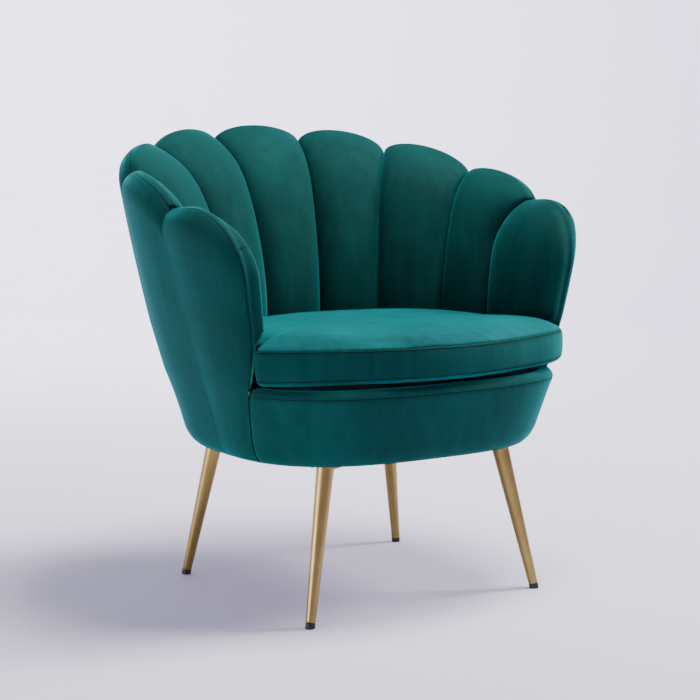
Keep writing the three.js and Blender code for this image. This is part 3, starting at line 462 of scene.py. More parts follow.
def makeArm(side):
    stations = armStations(4)
    drops = [scallops["seamDrop"] * s for s in (1, 0.6, 0.25)]
    drops += [0, 0.4, 1, 2, 3.6, 6, 9, 13, 18, 24, 31, 40, 50]
    turnRow = len(drops) - 1
    inward = arm["inwardRows"]
    rows = list(range(len(drops) + inward))
    last = len(stations) - 1
    shoulder = arm["peak"] - arm["shoulderDrop"]
    gap = petal["gap"] / scallops["seatHalfBack"]

    def spot(column, row):
        across, height, turn, rise = stations[column]
        drop = drops[min(row, turnRow)]
        sag = armDip(armBearing(across, height)) if rise == 1 else 0
        low = max(height - drop * rise - sag, scallops["foot"])
        groove = grooveBearing(3, low) + gap
        plain = armBearing(across - drop * turn, low)
        spread = 1 - clamp((plain - armGroove) / arm["leanSpread"])
        plain -= (armGroove - grooveBearing(3, low)) * spread
        bearing = groove if column == 0 else max(plain, groove)
        if row <= turnRow:
            return bearing, low, drop
        share = (row - turnRow) / inward
        foot = mix(shoulder, scallops["foot"], column / last)
        down = mix(low, foot, share)
        groove = grooveBearing(3, down) + gap
        turned = mix(bearing, grooveBearing(3, foot) + gap, share)
        return (groove if column == 0 or share >= 1 else max(turned, groove)), down, drop

    def front(column, row):
        bearing, height, drop = spot(column, row)
        edge = armEdge(bearing, height)
        distance = drop if row <= turnRow else edge[0]
        if row < 3:
            return skinPoint(side * bearing, height, 0, (distance, edge[1], edge[2]))
        radius = armChannelRadius(bearing, height, distance)
        inner = smooth(distance / arm["rippleStart"])
        radius += fabricRipple(bearing, height, 9.0 + side) * inner
        swell = bandSwell(distance, height, edge[1])
        bearing, height = bearing + swell * edge[1] / armRadius, height + swell * edge[2] * arm["bandLift"]
        turned, radius = clearOfCushion(bearing, radius, height) if row > 8 else (bearing, radius)
        return polar(side * turned, radius, height)

    def back(column, row):
        bearing, height, drop = spot(column, row)
        edge = armEdge(bearing, height)
        distance = drop if row <= turnRow else edge[0]
        depth = petal["coverDepth"] if row < 3 else channelDepth(distance)
        return skinPoint(side * bearing, height, depth, (distance, edge[1], edge[2]))

    word = "left" if side < 0 else "right"
    made = quilted(f"armPetal_{word}", list(range(last + 1)), rows, front, back)
    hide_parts(f"channel_{1 if side < 0 else 9}", f"arm_facing_{word}")
    return made


armPetals = [makeArm(side) for side in (-1, 1)]
print("arm petals padded")


# Outer cover round the back and both arms, drawn in a little below each valley
outer = {
    "thickness": 3.0, "bottom": 249.9, "margin": 2.85, "fill": 0.35,
    "hollow": 0.7, "swell": 3.4, "hollowStart": 26.0, "hollowLength": 230.0, "hollowPower": 1.6,
    "hollowWidth": 5.5 * degree, "ripple": 1.2, "mostRipple": 0.5, "rippleFade": 40.0, "rippleFoot": 255.0,
    "perPetal": 22, "armColumns": 10, "corner": 20, "rowsLow": 10, "rowsUp": 40, "rowsTop": 12,
}


# The cloth is pulled in behind each groove and swells out between them
def outerHollow(bearing, drop):
    turn, pull = abs(bearing), 0
    for place, groove in enumerate(scallops["grooves"]):
        away = (turn - groove) / outer["hollowWidth"]
        if place == 0:
            away = min(abs(away), abs(turn + groove) / outer["hollowWidth"])
        pull += math.exp(-away * away)
    fade = smooth(drop / outer["hollowStart"])
    fade *= math.exp(-((drop / outer["hollowLength"]) ** outer["hollowPower"]))
    pull = min(pull, 1)
    return (outer["hollow"] * pull - outer["swell"] * (1 - pull)) * fade


def outerColumns():
    right = []
    for place, to in enumerate(scallops["grooves"]):
        start = scallops["grooves"][place - 1] if place else 0
        steps = cosineSteps(outer["perPetal"])
        if place == 0:
            steps = [2 * s - 1 for s in steps if s >= 0.5]
        right += [("turn", mix(start, to, s)) for s in steps[1:]]
    right += [("arm", share) for share in evenSteps(0, 1, outer["armColumns"])[1:]]
    right += [("corner", angle) for angle in evenSteps(0, math.pi / 2, outer["corner"])[1:]]
    left = [(kind, -value) for kind, value in reversed(right)]
    return left + [("turn", 0.0)] + right


# A point of the cover's grid, at the crest, along an arm or round its corner
def outerPoint(column, row, depth):
    kind, value = column
    margin = outer["margin"]
    side = -1 if value < 0 else 1
    edgeRadius = arm["cornerRadius"] - margin
    if kind == "corner":
        top = arm["cornerHeight"] + edgeRadius * math.cos(value)
        across = edgeRadius * math.sin(abs(value))
    elif kind == "arm":
        turn = mix(armGroove, arm["armFront"] - arm["cornerRadius"] / armRadius, abs(value))
        top = arm["peak"] - armDip(turn) - margin
    else:
        top = crestTop(value) - margin
    shoulder = top - (scallops["rollHeight"] - margin)
    rolled = tub["baseHeight"] + tub["baseRollHeight"]
    if row[0] == "low":
        height = mix(outer["bottom"], rolled, row[1])
    elif row[0] == "mid":
        height = mix(rolled, shoulder, row[1])
    else:
        height = mix(shoulder, top, row[1])
    bearing = value
    if kind == "arm":
        bearing = side * mix(armGroove, armBearing(0, height), abs(value))
    if kind == "corner":
        bearing = side * armBearing(across, height)
    edge = edgeAt(bearing, height)
    wave = fabricRipple(bearing, height, 21.0) * smooth(edge[0] / outer["rippleFade"])
    wave *= smooth((height - outer["rippleFoot"]) / outer["rippleFade"])
    pull = outerHollow(bearing, edge[0]) + min(outer["ripple"] * wave, outer["mostRipple"]) if depth == 0 else 0
    return skinPoint(bearing, height, depth + pull, edge)


def makeOuterCover():
    columns = outerColumns()
    rows = [("low", 1 - math.cos(s * math.pi / 2)) for s in evenSteps(0, 1, outer["rowsLow"])]
    rows += [("mid", s) for s in evenSteps(0, 1, outer["rowsUp"])[1:]]
    rows += [("top", math.sin(s * math.pi / 2)) for s in evenSteps(0, 1, outer["rowsTop"])[1:]]
    made = quilted("outerCover", columns, rows,
                   lambda c, r: outerPoint(c, r, 0), lambda c, r: outerPoint(c, r, outer["thickness"]))
    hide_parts("outer_cover")
    return made


outerCover = makeOuterCover()
print("outer cover stretched")

# Front rail: a padded roll between the arms, with its own cover
rail = {
    "rollDepth": 19.0, "rollHeight": 20.0, "innerInset": 29.0, "endLap": 2.5, "thickness": 3.0, "fill": 0.6,
    "swell": 1.5, "swellFoot": 262.0, "swellRise": 60.0, "swellTop": 12.0, "swellEnd": 0.05, "ripple": 0.5,
    "columns": 90, "rowsLow": 10, "rowsUp": 14, "rowsTop": 12, "rowsIn": 4,
}


def railBearing(share, height):
    start = frontBearing(height) - rail["endLap"] / armRadius
    return mix(start, 2 * math.pi - start, share)


# A point on the rail's skin, or at an inset of its own where the cover lies flat behind the roll
def railSkin(share, height, depth, inset=None):
    bearing = railBearing(share, height)
    tilt = clamp(1 - (tub["beltHeight"] - height) / rail["rollHeight"])
    level = math.sqrt(1 - tilt ** 2)
    lowered = height - depth * tilt
    if inset is None:
        inset = rail["rollDepth"] * (1 - level) + depth * level
        full = smooth((height - rail["swellFoot"]) / rail["swellRise"])
        full *= smooth((tub["beltHeight"] - height) / rail["swellTop"])
        if depth == 0:
            inset -= rail["swell"] * full * smooth(min(share, 1 - share) / rail["swellEnd"])
        inset -= noise.noise(Vector((share * 7, height / 60, 4.4))) * rail["ripple"] * full
    return polar(bearing, bodyRadius(bearing, lowered) - inset, lowered)


# Rows up the rail: its rolled foot, its straight face and its rolled top
def railHeights():
    low, high = outer["bottom"], tub["baseHeight"] + tub["baseRollHeight"]
    heights = [mix(low, high, 1 - math.cos(s * math.pi / 2)) for s in evenSteps(0, 1, rail["rowsLow"])]
    start = tub["beltHeight"] - rail["rollHeight"]
    heights += evenSteps(high, start, rail["rowsUp"])[1:]
    rises = evenSteps(0, 1, rail["rowsTop"])[1:]
    return heights + [start + rail["rollHeight"] * math.sin(s * math.pi / 2) for s in rises]


def makeRail():
    columns = evenSteps(0, 1, rail["columns"])
    rows = [(height, None) for height in railHeights()]
    for inset in evenSteps(rail["rollDepth"], rail["innerInset"], rail["rowsIn"])[1:]:
        rows.append((tub["beltHeight"], inset))
    made = quilted("railCover", columns, rows, lambda c, r: railSkin(c, r[0], 0, r[1]),
                   lambda c, r: railSkin(c, r[0], rail["thickness"], r[1]))
    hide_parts("rail_cover")
    return made


railCover = makeRail()
print("front rail padded")


# Loose cushion: a boxed form that is puffed by a cloth simulation, then sewn
def cushionBearings(count):
    start, end = 112 * degree, 120 * degree  # round the ears
    half = evenSteps(0, start, count)[:-1] + evenSteps(start, end, 26) + evenSteps(end, math.pi, count // 2)[1:]
    return half + [2 * math.pi - turn for turn in reversed(half[1:-1])]


# The crown's rings: inset from the edge and rise over the upper seam
crownRings = [(0, 0), (5, 3.2), (14, 6.6), (28, 10.4), (48, 13.8), (80, 16.6), (110, 18.4), (150, 19.5)]


def cushionForm(shrink):
    bearings = cushionBearings(90)
    low, high = cushion["lowerSeam"], cushion["upperSeam"]
    rings = [(inset, cushion["bottom"], 0) for inset in (90, 30, 9)] + [(0, low, 0)]
    rings += [(0, mix(low, high, s), math.sin(s * math.pi)) for s in (0.2, 0.4, 0.6, 0.8)]
    rings += [(inset, high + rise, 0) for inset, rise in crownRings]
    points = [(0, 0, cushion["bottom"])]
    for inset, height, bulge in rings:
        for turn in bearings:
            forward = clamp(-math.cos(turn))
            radius = cushionRadius(turn) - inset - shrink + bulge * cushion["bulge"] * forward
            points.append(polar(turn, radius, height))
    points.append((0, 0, cushion["top"]))
    return [inRow(p) for p in points], ringFaces(len(rings), len(bearings))


# A point's bearing and its distance from the body's axis, in millimetres
def plan(point):
    x, y = point.x * 1000, (point.y - bodyShift) * 1000
    return math.atan2(x, y), math.hypot(x, y)


def smoothMesh(piece, repeats):
    work = bmesh.new()
    work.from_mesh(piece.data)
    for _ in range(repeats):
        bmesh.ops.smooth_vert(work, verts=work.verts, factor=0.5,
                              use_axis_x=True, use_axis_y=True, use_axis_z=True)
    work.to_mesh(piece.data)
    work.free()


def applyModifiers(piece):
    bpy.context.view_layer.update()
    evaluated = piece.evaluated_get(bpy.context.evaluated_depsgraph_get())
    mesh = bpy.data.meshes.new_from_object(evaluated)
    old = piece.data
    piece.modifiers.clear()
    piece.data = mesh
    bpy.data.meshes.remove(old)


# Blows a form up as cloth under pressure, with every point's move held short
def puff(piece, pressure, steps, mostMove):
    scene = bpy.context.scene
    start = np.zeros(len(piece.data.vertices) * 3)
    piece.data.vertices.foreach_get("co", start)
    cloth = piece.modifiers.new("puff", "CLOTH")
    cloth.settings.use_pressure = True
    cloth.settings.uniform_pressure_force = pressure
    cloth.settings.effector_weights.gravity = 0
    cloth.settings.quality = 4
    cloth.settings.tension_stiffness = cloth.settings.compression_stiffness = cushion["stiffness"]
    cloth.settings.bending_stiffness = cushion["bending"]
    cloth.collision_settings.use_collision = False
    cloth.point_cache.frame_start, cloth.point_cache.frame_end = 1, steps
    for frameNumber in range(1, steps + 1):
        scene.frame_set(frameNumber)
    evaluated = piece.evaluated_get(bpy.context.evaluated_depsgraph_get())
    moved = np.zeros(len(piece.data.vertices) * 3)
    evaluated.data.vertices.foreach_get("co", moved)
    piece.modifiers.clear()
    scene.frame_set(1)
    start, moved = start.reshape(-1, 3), moved.reshape(-1, 3)
    step = moved - start
    length = np.linalg.norm(step, axis=1, keepdims=True)
    step *= np.minimum(1, mostMove / np.maximum(length, 1e-9))
    piece.data.vertices.foreach_set("co", (start + step).ravel())
    piece.data.update()


def remesh(piece, voxel):
    change = piece.modifiers.new("remesh", "REMESH")
    change.mode = "VOXEL"
    change.voxel_size = voxel
    change.use_smooth_shade = True
    applyModifiers(piece)


def refine(piece):
    change = piece.modifiers.new("refine", "SUBSURF")
    change.levels = change.render_levels = 1
    applyModifiers(piece)
    for face in piece.data.polygons:
        face.use_smooth = True


# Draws the border in along both seams, softens the top and keeps the underside flat
def sewCushion(piece):
    for vertex in piece.data.vertices:
        bearing, radius = plan(vertex.co)
        height = vertex.co.z * 1000
        inset = cushionRadius(bearing) - radius
        nearEdge = smooth((cushion["pullReach"] - inset) / cushion["pullFade"])
        pull = 0
        for seam, depth in (("lowerSeam", "lowPull"), ("upperSeam", "topPull")):
            away = (height - cushion[seam]) / cushion["pullHeight"]
            pull += cushion[depth] * math.exp(-away ** 2) * nearEdge
        crease = Vector((vertex.co.x * 9, vertex.co.y * 9, 2.2))
        wave = noise.noise(crease) * cushion["wave"] + noise.noise(crease * 3.1) * cushion["fineWave"]
        onTop = smooth((height - cushion["upperSeam"] - cushion["topStart"]) / cushion["topFade"])
        height += wave * onTop
        borderWave = noise.noise(Vector((bearing * 9, height / 30, 1))) * cushion["borderWave"]
        radius -= pull + (0 if onTop else borderWave)
        vertex.co = inRow(polar(bearing, radius, max(height, cushion["bottom"] + cushion["lift"])))
    piece.data.update()


def makeCushion():
    points, faces = cushionForm(cushion["shrink"])
    made = meshPiece("seatCushion", points, faces)
    remesh(made, cushion["voxel"])
    smoothMesh(made, 3)
    puff(made, cushion["pressure"], cushion["steps"], cushion["mostMove"])
    smoothMesh(made, 2)
    refine(made)
    sewCushion(made)
    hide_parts("cushion_cover")
    return made


seatCushion = makeCushion()
print("seat cushion puffed and sewn")


# Seams and stitches lie on the finished surfaces. The seams are thin near-black cords, painted shade for the
# crease of each plain seam; the stitches are thread
sewing = {
    "seam": 0.0009, "stitch": 0.0036, "stitchGap": 0.0022, "stitchRadius": 0.00042, "stitchSides": 5,
    "topstitch": 6.5, "cushionStitch": 4.2, "crossLength": 14.0, "crossHeight": 590.0, "crossFall": 0.18,
    "crossRise": 45.0, "railSeam": 360.0, "railStitch": 356.0,
}


# The direction along a line at one of its points, and two directions across it
def frameAlong(points, i):
    start, end = points[max(i - 1, 0)], points[min(i + 1, len(points) - 1)]
    along = (end - start).normalized()
    guide = Vector((0, 0, 1)) if abs(along.z) < 0.9 else Vector((0, 1, 0))
    across = along.cross(guide).normalized()
    return along, across, along.cross(across).normalized()


# A thin cord along a line; the seam cords made with it carry painted shade
def seamLine(name, points, radius, sides=6):
    points = [Vector(p) for p in points]
    places = []
    for i, point in enumerate(points):
        _, across, up = frameAlong(points, i)
        for k in range(sides):
            turn = 2 * math.pi * k / sides
            places.append(point + across * (radius * math.cos(turn)) + up * (radius * math.sin(turn)))
    return meshPiece(name, places, tubeFaces(len(points), sides), merge=0)


# Each stitch is a short spindle that dips into the cloth at both ends
def stitchRow(name, paths):
    places, faces = [], []
    profile = [(-0.5, 0.25), (-0.3, 0.9), (0.0, 1.0), (0.3, 0.9), (0.5, 0.25)]
    sides = sewing["stitchSides"]
    for path in paths:
        path = [Vector(p) for p in path]
        pitch = sewing["stitch"] + sewing["stitchGap"]
        travelled, target = 0.0, pitch
        for a, b in zip(path, path[1:]):
            length = (b - a).length
            while length > 1e-9 and travelled + length >= target:
                centre = a.lerp(b, (target - travelled) / length)
                along, across, up = frameAlong([a, b], 0)
                base = len(places)
                for share, thick in profile:
                    spot = centre + along * (share * sewing["stitch"])
                    for k in range(sides):
                        turn = 2 * math.pi * k / sides
                        ring = across * math.cos(turn) + up * math.sin(turn)
                        places.append(spot + ring * (thick * sewing["stitchRadius"]))
                faces += tubeFaces(len(profile), sides, base)
                target += pitch
            travelled += length
    return meshPiece(name, places, faces, merge=0)


# The line where the channels meet the outer cover, from one arm's foot over the crest to the other's
def crestLine(drop, depth):
    side = []
    for place in range(4):
        start = scallops["grooves"][place - 1] if place else 0
        shares = cosineSteps(26)
        if place == 0:
            shares = [s for s in shares if s >= 0.5]
        for share in shares:
            bearing = mix(start, scallops["grooves"][place], 2 * share - 1 if place == 0 else share)
            top = archTop(place, share)
            side.append(skinPoint(bearing, top - drop, depth, (drop, 0, 1)))
    for across, height, turn, rise in armStations(5):
        bearing = armBearing(across - drop * turn, height)
        low = height - drop * rise - (armDip(bearing) if rise == 1 else 0)
        edge = armEdge(bearing, low)
        side.append(skinPoint(bearing, low, depth, (drop, edge[1], edge[2])))
    mirrored = [(-x, y, z) for x, y, z in reversed(side[1:])]
    return [inRow(p) for p in mirrored + side]


# The valley between two channels, from its top to its foot
def groovePath(place):
    points, top = [], scallops["valleys"][place]
    for share in evenSteps(0, 1, 60):
        height = mix(top - 1, scallops["foot"] + 2, share)
        turned = grooveBearing(place, height)
        if place < 3:
            points.append(backChannelPoint(turned, height, 1, top, 0))
        else:
            points.append(polar(turned, armChannelRadius(turned, height, max(top - height, 0)), height))
    return points


# Points brought to the nearest place on a finished surface
def onSurface(tree, points, lift):
    found = []
    for point in points:
        place, normal, _, _ = tree.find_nearest(Vector(point))
        found.append(place + normal * lift)
    return found


def surfaceTree(piece):
    return BVHTree.FromObject(piece, bpy.context.evaluated_depsgraph_get())


seams = []
bpy.context.view_layer.update()
seams.append(seamLine("crestSeam", crestLine(scallops["seamDrop"] + 0.1, 0.35), sewing["seam"] * 0.75))
for place in range(4):
    for side, word in ((-1, "left"), (1, "right")):
        path = [inRow((side * x, y, z)) for x, y, z in groovePath(place)]
        seams.append(seamLine(f"grooveSeam_{word}_{place + 1}", path, sewing["seam"]))
coverTree = surfaceTree(outerCover)
topstitch = onSurface(coverTree, crestLine(sewing["topstitch"], 0), sewing["stitchRadius"] * 0.4)
seams.append(stitchRow("crestStitches", [topstitch]))


# The short seam across the near arm's front band, where its corner begins to round
def crossSeamPath():
    points = []
    roundedOff = arm["cornerRadius"] - math.sqrt(arm["cornerRadius"] ** 2 - sewing["crossRise"] ** 2)
    for drop in evenSteps(0.5, sewing["crossLength"], 10):
        height = sewing["crossHeight"] - drop * sewing["crossFall"]
        turn = frontBearing(height) - (drop + roundedOff) / armRadius
        points.append(inRow(polar(-turn, armChannelRadius(turn, height, drop), height)))
    return onSurface(surfaceTree(armPetals[0]), points, 0.0001)


seams.append(seamLine("armCrossSeam_left", crossSeamPath(), sewing["seam"] * 0.6))
cushionTree = surfaceTree(seatCushion)


def roundCushion(height, inset, lift):
    bearings = evenSteps(0, 2 * math.pi, 520)
    points = [inRow(polar(bearing, cushionRadius(bearing) - inset, height)) for bearing in bearings]
    return onSurface(cushionTree, points, lift)


cushionSeams = [
    seamLine("cushionTopSeam", roundCushion(cushion["upperSeam"], 1.5, -0.0001), sewing["seam"] * 0.75),
    seamLine("cushionLowSeam", roundCushion(cushion["lowerSeam"], 1.5, -0.0001), sewing["seam"] * 0.75),
]
thread = sewing["stitchRadius"] * 0.45
cushionStitches = stitchRow("cushionStitches", [
    roundCushion(cushion["upperSeam"] + 3.4, 4.0, thread),
    roundCushion(cushion["upperSeam"] - sewing["cushionStitch"], 0, thread),
    roundCushion(cushion["lowerSeam"] + sewing["cushionStitch"], 0, thread),
])
railTree = surfaceTree(railCover)


def alongRail(height):
    points = []
    for share in evenSteps(0.012, 0.988, 220):
        bearing = railBearing(share, height)
        points.append(inRow(polar(bearing, bodyRadius(bearing, height) + 2, height)))
    return onSurface(railTree, points, 0.0)


seams.append(seamLine("railTopSeam", alongRail(sewing["railSeam"]), sewing["seam"] * 0.6))
seams.append(stitchRow("railStitches", [alongRail(sewing["railStitch"])]))
for side, word in ((-1, "left"), (1, "right")):  # the upright seams where the rail meets the arms
    path = []
    end = 0.0 if side > 0 else 1.0
    for height in evenSteps(outer["bottom"], tub["beltHeight"] - rail["rollHeight"], 60):
        bearing = railBearing(0, height)
        path.append(inRow(polar(side * bearing, bodyRadius(bearing, height) - 0.5, height)))
    for rise in evenSteps(0, math.pi / 2, 10)[1:]:
        height = tub["beltHeight"] - rail["rollHeight"] * (1 - math.sin(rise))
        path.append(inRow(railSkin(end, height, 0)))
    path.append(inRow(railSkin(end, tub["beltHeight"], 0, rail["innerInset"] - 3)))
    seams.append(seamLine(f"railEndSeam_{word}", path, sewing["seam"] * 1.7))
lowRim = []
for bearing in evenSteps(0, 2 * math.pi, 300):
    lowRim.append(inRow(polar(bearing, bodyRadius(bearing, outer["bottom"]) - 0.6, outer["bottom"] - 0.1)))
seams.append(seamLine("underSeam", lowRim, sewing["seam"]))
for piece in seams:
    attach(piece, "chair")
for piece in cushionSeams + [cushionStitches]:
    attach(piece, "cushion")
print("seams and stitches sewn:", len(seams) + 3)

# Legs: tapered brass tubes on welded plates, with moulded caps
leg = {
    "topRadius": 14.3, "footRadius": 7.75, "wall": 1.9, "sides": 56, "weld": 2.2, "weldLength": 8.0,
    "capRadius": 8.0, "capLength": 9.0, "capGap": 0.3, "plugLength": 13.0,
    "plateSize": 54.0, "plateThickness": 3.0, "plateTop": 248.5, "plateCorner": 6.0, "plateSink": 1.2,
    "screwSpacing": 18.4, "headRadius": 3.6, "headHeight": 2.4, "screwRadius": 2.0, "screwTip": 14.0,
    "socketRadius": 1.3, "threads": 12, "threadStart": 3.5, "threadPitch": 1.1, "threadDepth": 0.45,
}
# The foot's and the top's places in the plan, and how far the plate moves inward
legPlaces = {
    "front_left": (-223.5, -183.4, -172, -148.4, 8), "front_right": (223.5, -183.4, 172, -148.4, 8),
    "back_left": (-223.5, 225.6, -178.5, 191.4, 20), "back_right": (223.5, 225.6, 178.5, 191.4, 20),
}


# A lathe form about any axis, from pairs of radius and distance along it
def turnedPiece(name, profile, base, axis, sides):
    axis = Vector(axis).normalized()
    across = axis.cross(Vector((0, 0, 1)))
    across = across.normalized() if across.length > 1e-6 else Vector((1, 0, 0))
    other = axis.cross(across).normalized()
    points = []
    for radius, along in profile:
        for k in range(sides):
            angle = 2 * math.pi * k / sides
            ring = across * math.cos(angle) + other * math.sin(angle)
            points.append(Vector(base) + axis * along + ring * radius)
    return meshPiece(name, [inRow(p) for p in points], tubeFaces(len(profile), sides), merge=1e-6, sharp=35)


# A tapered tube from the cap's edge to its weld bead under the plate
def makeTube(word, base, axis):
    foot, start = leg["footRadius"], leg["capLength"] + leg["capGap"]
    end = (leg["plateTop"] - leg["plateSink"]) / axis.z
    bead = end - leg["weldLength"]

    def radiusAt(along):
        return mix(foot, leg["topRadius"], (along - start) / (end - start))

    profile = [(foot - 1.5, start + 1), (foot - 1.2, start), (foot - 0.3, start), (foot, start + 0.4)]
    profile += [(radiusAt(along), along) for along in evenSteps(start + 2, bead, 30)]
    for step in (2, 4, 5, 6, 7, 8):
        swell = leg["weld"] * step * step / leg["weldLength"] ** 2
        profile.append((radiusAt(bead + step) + swell, bead + step))
    made = turnedPiece(f"tube_{word}", profile, base, axis, leg["sides"])
    for vertex in made.data.vertices:
        vertex.co.z = min(vertex.co.z, (leg["plateTop"] - 1) / 1000)
    return made


# A cap under the tube, with a plug that reaches up inside it
def makeCap(word, base, axis):
    radius, length, plug = leg["capRadius"], leg["capLength"], leg["footRadius"] - leg["wall"]
    end = length + leg["plugLength"]
    profile = [(radius - 1.2, -3), (radius - 0.2, 0.6), (radius, 1.6), (radius, 7.6), (radius - 0.3, 8.6)]
    profile += [(radius - 1, length), (plug, length), (plug, end), (plug - 0.8, end + 1)]
    made = turnedPiece(f"footCap_{word}", profile, base, axis, leg["sides"])
    for vertex in made.data.vertices:
        vertex.co.z = max(vertex.co.z, 0)
    return made


# A wood screw, head down, through the plate into the base ring
def makeScrew(name, x, y):
    head, shank, socket = leg["headRadius"], leg["screwRadius"], leg["socketRadius"]
    top = leg["plateTop"] - leg["plateThickness"] - 0.3
    low = top - leg["headHeight"]
    profile = [(socket, low + 1.2), (socket, low + 0.1), (socket + 0.3, low), (head * 0.62, low)]
    profile += [(head * 0.9, top - leg["headHeight"] * 0.55), (head, top - 0.4), (head, top), (shank, top)]
    for step in range(leg["threads"]):
        groove = top + leg["threadStart"] + step * leg["threadPitch"]
        profile += [(shank - leg["threadDepth"], groove), (shank, groove + leg["threadPitch"] / 2)]
    profile.append((0.3, leg["plateTop"] + leg["screwTip"] + shank))
    return turnedPiece(name, profile, (x, y, 0), (0, 0, 1), 20)


# A plate with round corners and a soft top and bottom edge
def plateMesh(name, x, y, turn):
    half, corner = leg["plateSize"] / 2, leg["plateCorner"]
    outline = []
    for quarter in range(4):
        cx = (half - corner) * (1 if quarter in (0, 3) else -1)
        cy = (half - corner) * (1 if quarter in (0, 1) else -1)
        for step in range(9):
            angle = (quarter + step / 8) * math.pi / 2
            outline.append((cx + corner * math.cos(angle), cy + corner * math.sin(angle)))
    top, low = leg["plateTop"], leg["plateTop"] - leg["plateThickness"]
    levels = [(top, 0.5), (top - 0.4, 0), (low + 0.5, 0), (low, 0.6)]
    points = []
    for height, inset in levels:
        for px, py in outline:
            share = 1 - inset / half
            rx = px * share * math.cos(turn) - py * share * math.sin(turn)
            ry = px * share * math.sin(turn) + py * share * math.cos(turn)
            points.append(inRow((x + rx, y + ry, height)))
    return meshPiece(name, points, tubeFaces(len(levels), len(outline)), sharp=35)


def joined(name, pieces):
    with bpy.context.temp_override(active_object=pieces[0], selected_editable_objects=pieces):
        bpy.ops.object.join()
    pieces[0].name = name
    return pieces[0]


legPieces = {"brass": [], "caps": [], "screws": []}
for word, (footX, footY, topX, topY, shift) in legPlaces.items():
    axis = Vector((topX - footX, topY - footY, leg["plateTop"])).normalized()
    tube = makeTube(word, (footX, footY, 0), axis)
    inward = 1 - shift / math.hypot(topX, topY)
    turn, plateX, plateY = math.atan2(topY, topX), topX * inward, topY * inward
    whole = joined(f"brassLeg_{word}", [tube, plateMesh(f"plate_{word}", plateX, plateY, turn)])
    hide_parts(f"leg_{word}")
    legPieces["brass"].append(whole)
    foot = makeCap(word, (footX, footY, 0), axis)
    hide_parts(f"foot_{word}")
    legPieces["caps"].append(foot)
    for corner in range(4):
        angle, away = turn + (corner + 0.5) * math.pi / 2, leg["screwSpacing"] * math.sqrt(2)
        x, y = plateX + away * math.cos(angle), plateY + away * math.sin(angle)
        made = makeScrew(f"woodScrew_{word}_{corner + 1}", x, y)
        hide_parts(f"screw_{word}_{corner + 1}")
        legPieces["screws"].append(made)
print("legs turned:", len(legPieces["brass"]))


# Under the cushion and inside: deck, padding, webbing and lining
inside = {
    "deckBottom": 367.3, "deckTop": 378.1, "coverTop": 379.6, "dustTop": 249.6, "dustBottom": 248.8,
    "dustInset": 4.0, "deckInset": 28.2, "deckGap": 6.0, "padInset": 3.0, "padRound": 4.0,
    "tuck": 4.0, "tuckGap": 1.5, "clothThickness": 0.9, "clothRound": 2.5, "strapRib": 0.12,
}


def deckRadius(bearing):
    within = seatRadius(bearing) - inside["deckInset"]
    return min(within, bodyRadius(bearing, tub["beltHeight"]) - rail["innerInset"] - inside["deckGap"])


# A flat padded or sheet piece over a plan, in rings from the middle to its round edge
def planPiece(name, radiusAt, top, bottom, rounding, rings=26, around=160):
    shares = evenSteps(0.04, 1, rings)
    rows = [(share, 0, top) for share in shares]
    for angle in evenSteps(0, math.pi, 6 if rounding > 1 else 2)[1:]:
        rows.append((1, rounding * math.sin(angle), mix(bottom, top, (1 + math.cos(angle)) / 2)))
    rows += [(share, 0, bottom) for share in reversed(shares[:-1])]
    points = [(0, 0, top)]
    for share, out, height in rows:
        for k in range(around):
            bearing = 2 * math.pi * k / around
            points.append(polar(bearing, (radiusAt(bearing) - rounding) * share + out, height))
    points.append((0, 0, bottom))
    return meshPiece(name, [inRow(p) for p in points], ringFaces(len(rows), around), sharp=50)


deckPad = planPiece("deckPad", lambda bearing: deckRadius(bearing) - inside["padInset"],
                    inside["deckTop"], inside["deckBottom"] + 0.4, inside["padRound"])
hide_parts("deck_pad")


def tuckRadius(bearing):
    railSide = bodyRadius(bearing, tub["beltHeight"]) - rail["innerInset"] - inside["tuckGap"]
    return max(min(seatRadius(bearing) + inside["tuck"], railSide), deckRadius(bearing) + 1)


# The cloth over the deck: down round the pad's edge, then out under the channels
def makeDeckCover():
    top, low, thick = inside["coverTop"], inside["deckBottom"] + 0.6, inside["clothThickness"]
    rim, under, hem = inside["clothRound"], inside["clothRound"] - thick, low - 0.8
    shares, turns = evenSteps(0.04, 1, 30), evenSteps(0, math.pi / 2, 5)
    rows = [(share, 0, top) for share in shares[:-1]]
    rows += [(1, -rim * (1 - math.sin(a)), top - rim * (1 - math.cos(a))) for a in turns]
    rows += [(1, 0, height) for height in evenSteps(top - rim, low, 4)[1:]]
    rows += [(1 + out, 0, low) for out in (0.33, 0.66, 1)]
    rows += [(1 + out, 0, hem) for out in (1, 0.66, 0.33, 0)]
    rows += [(1, -thick, height) for height in evenSteps(hem, top - rim, 4)]
    for a in evenSteps(0, math.pi / 2, 4)[1:]:
        rows.append((1, -thick - under * (1 - math.cos(a)), top - rim + under * math.sin(a)))
    rows += [(share, -thick, top - thick) for share in reversed(shares[:-2])]
    count, points = 200, [(0, 0, top)]
    for share, inset, height in rows:
        for k in range(count):
            bearing = 2 * math.pi * k / count
            radius = deckRadius(bearing)
            radius = radius * share if share <= 1 else mix(radius, tuckRadius(bearing), share - 1)
            points.append(polar(bearing, radius + inset, height))
    points.append((0, 0, top - thick))
    made = meshPiece("deckCover", [inRow(p) for p in points], ringFaces(len(rows), count), sharp=60)
    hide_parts("deck_cover")
    return made


deckCover = makeDeckCover()


def dustRadius(bearing):
    return bodyRadius(bearing, outer["bottom"]) - inside["dustInset"]


dustCover = planPiece("dustCover", dustRadius, inside["dustTop"], inside["dustBottom"], 0.4)
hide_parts("dust_cover")


# A plan's area in square metres
def planArea(radiusAt):
    return sum(radiusAt(2 * math.pi * k / 720) ** 2 for k in range(720)) * math.pi / 720 * 1e-6


# The deck cloth laid flat: its plan, the skirt down the pad's side and the tuck under the channels
def flatDeckRadius(bearing):
    return tuckRadius(bearing) + (inside["coverTop"] - inside["deckBottom"])


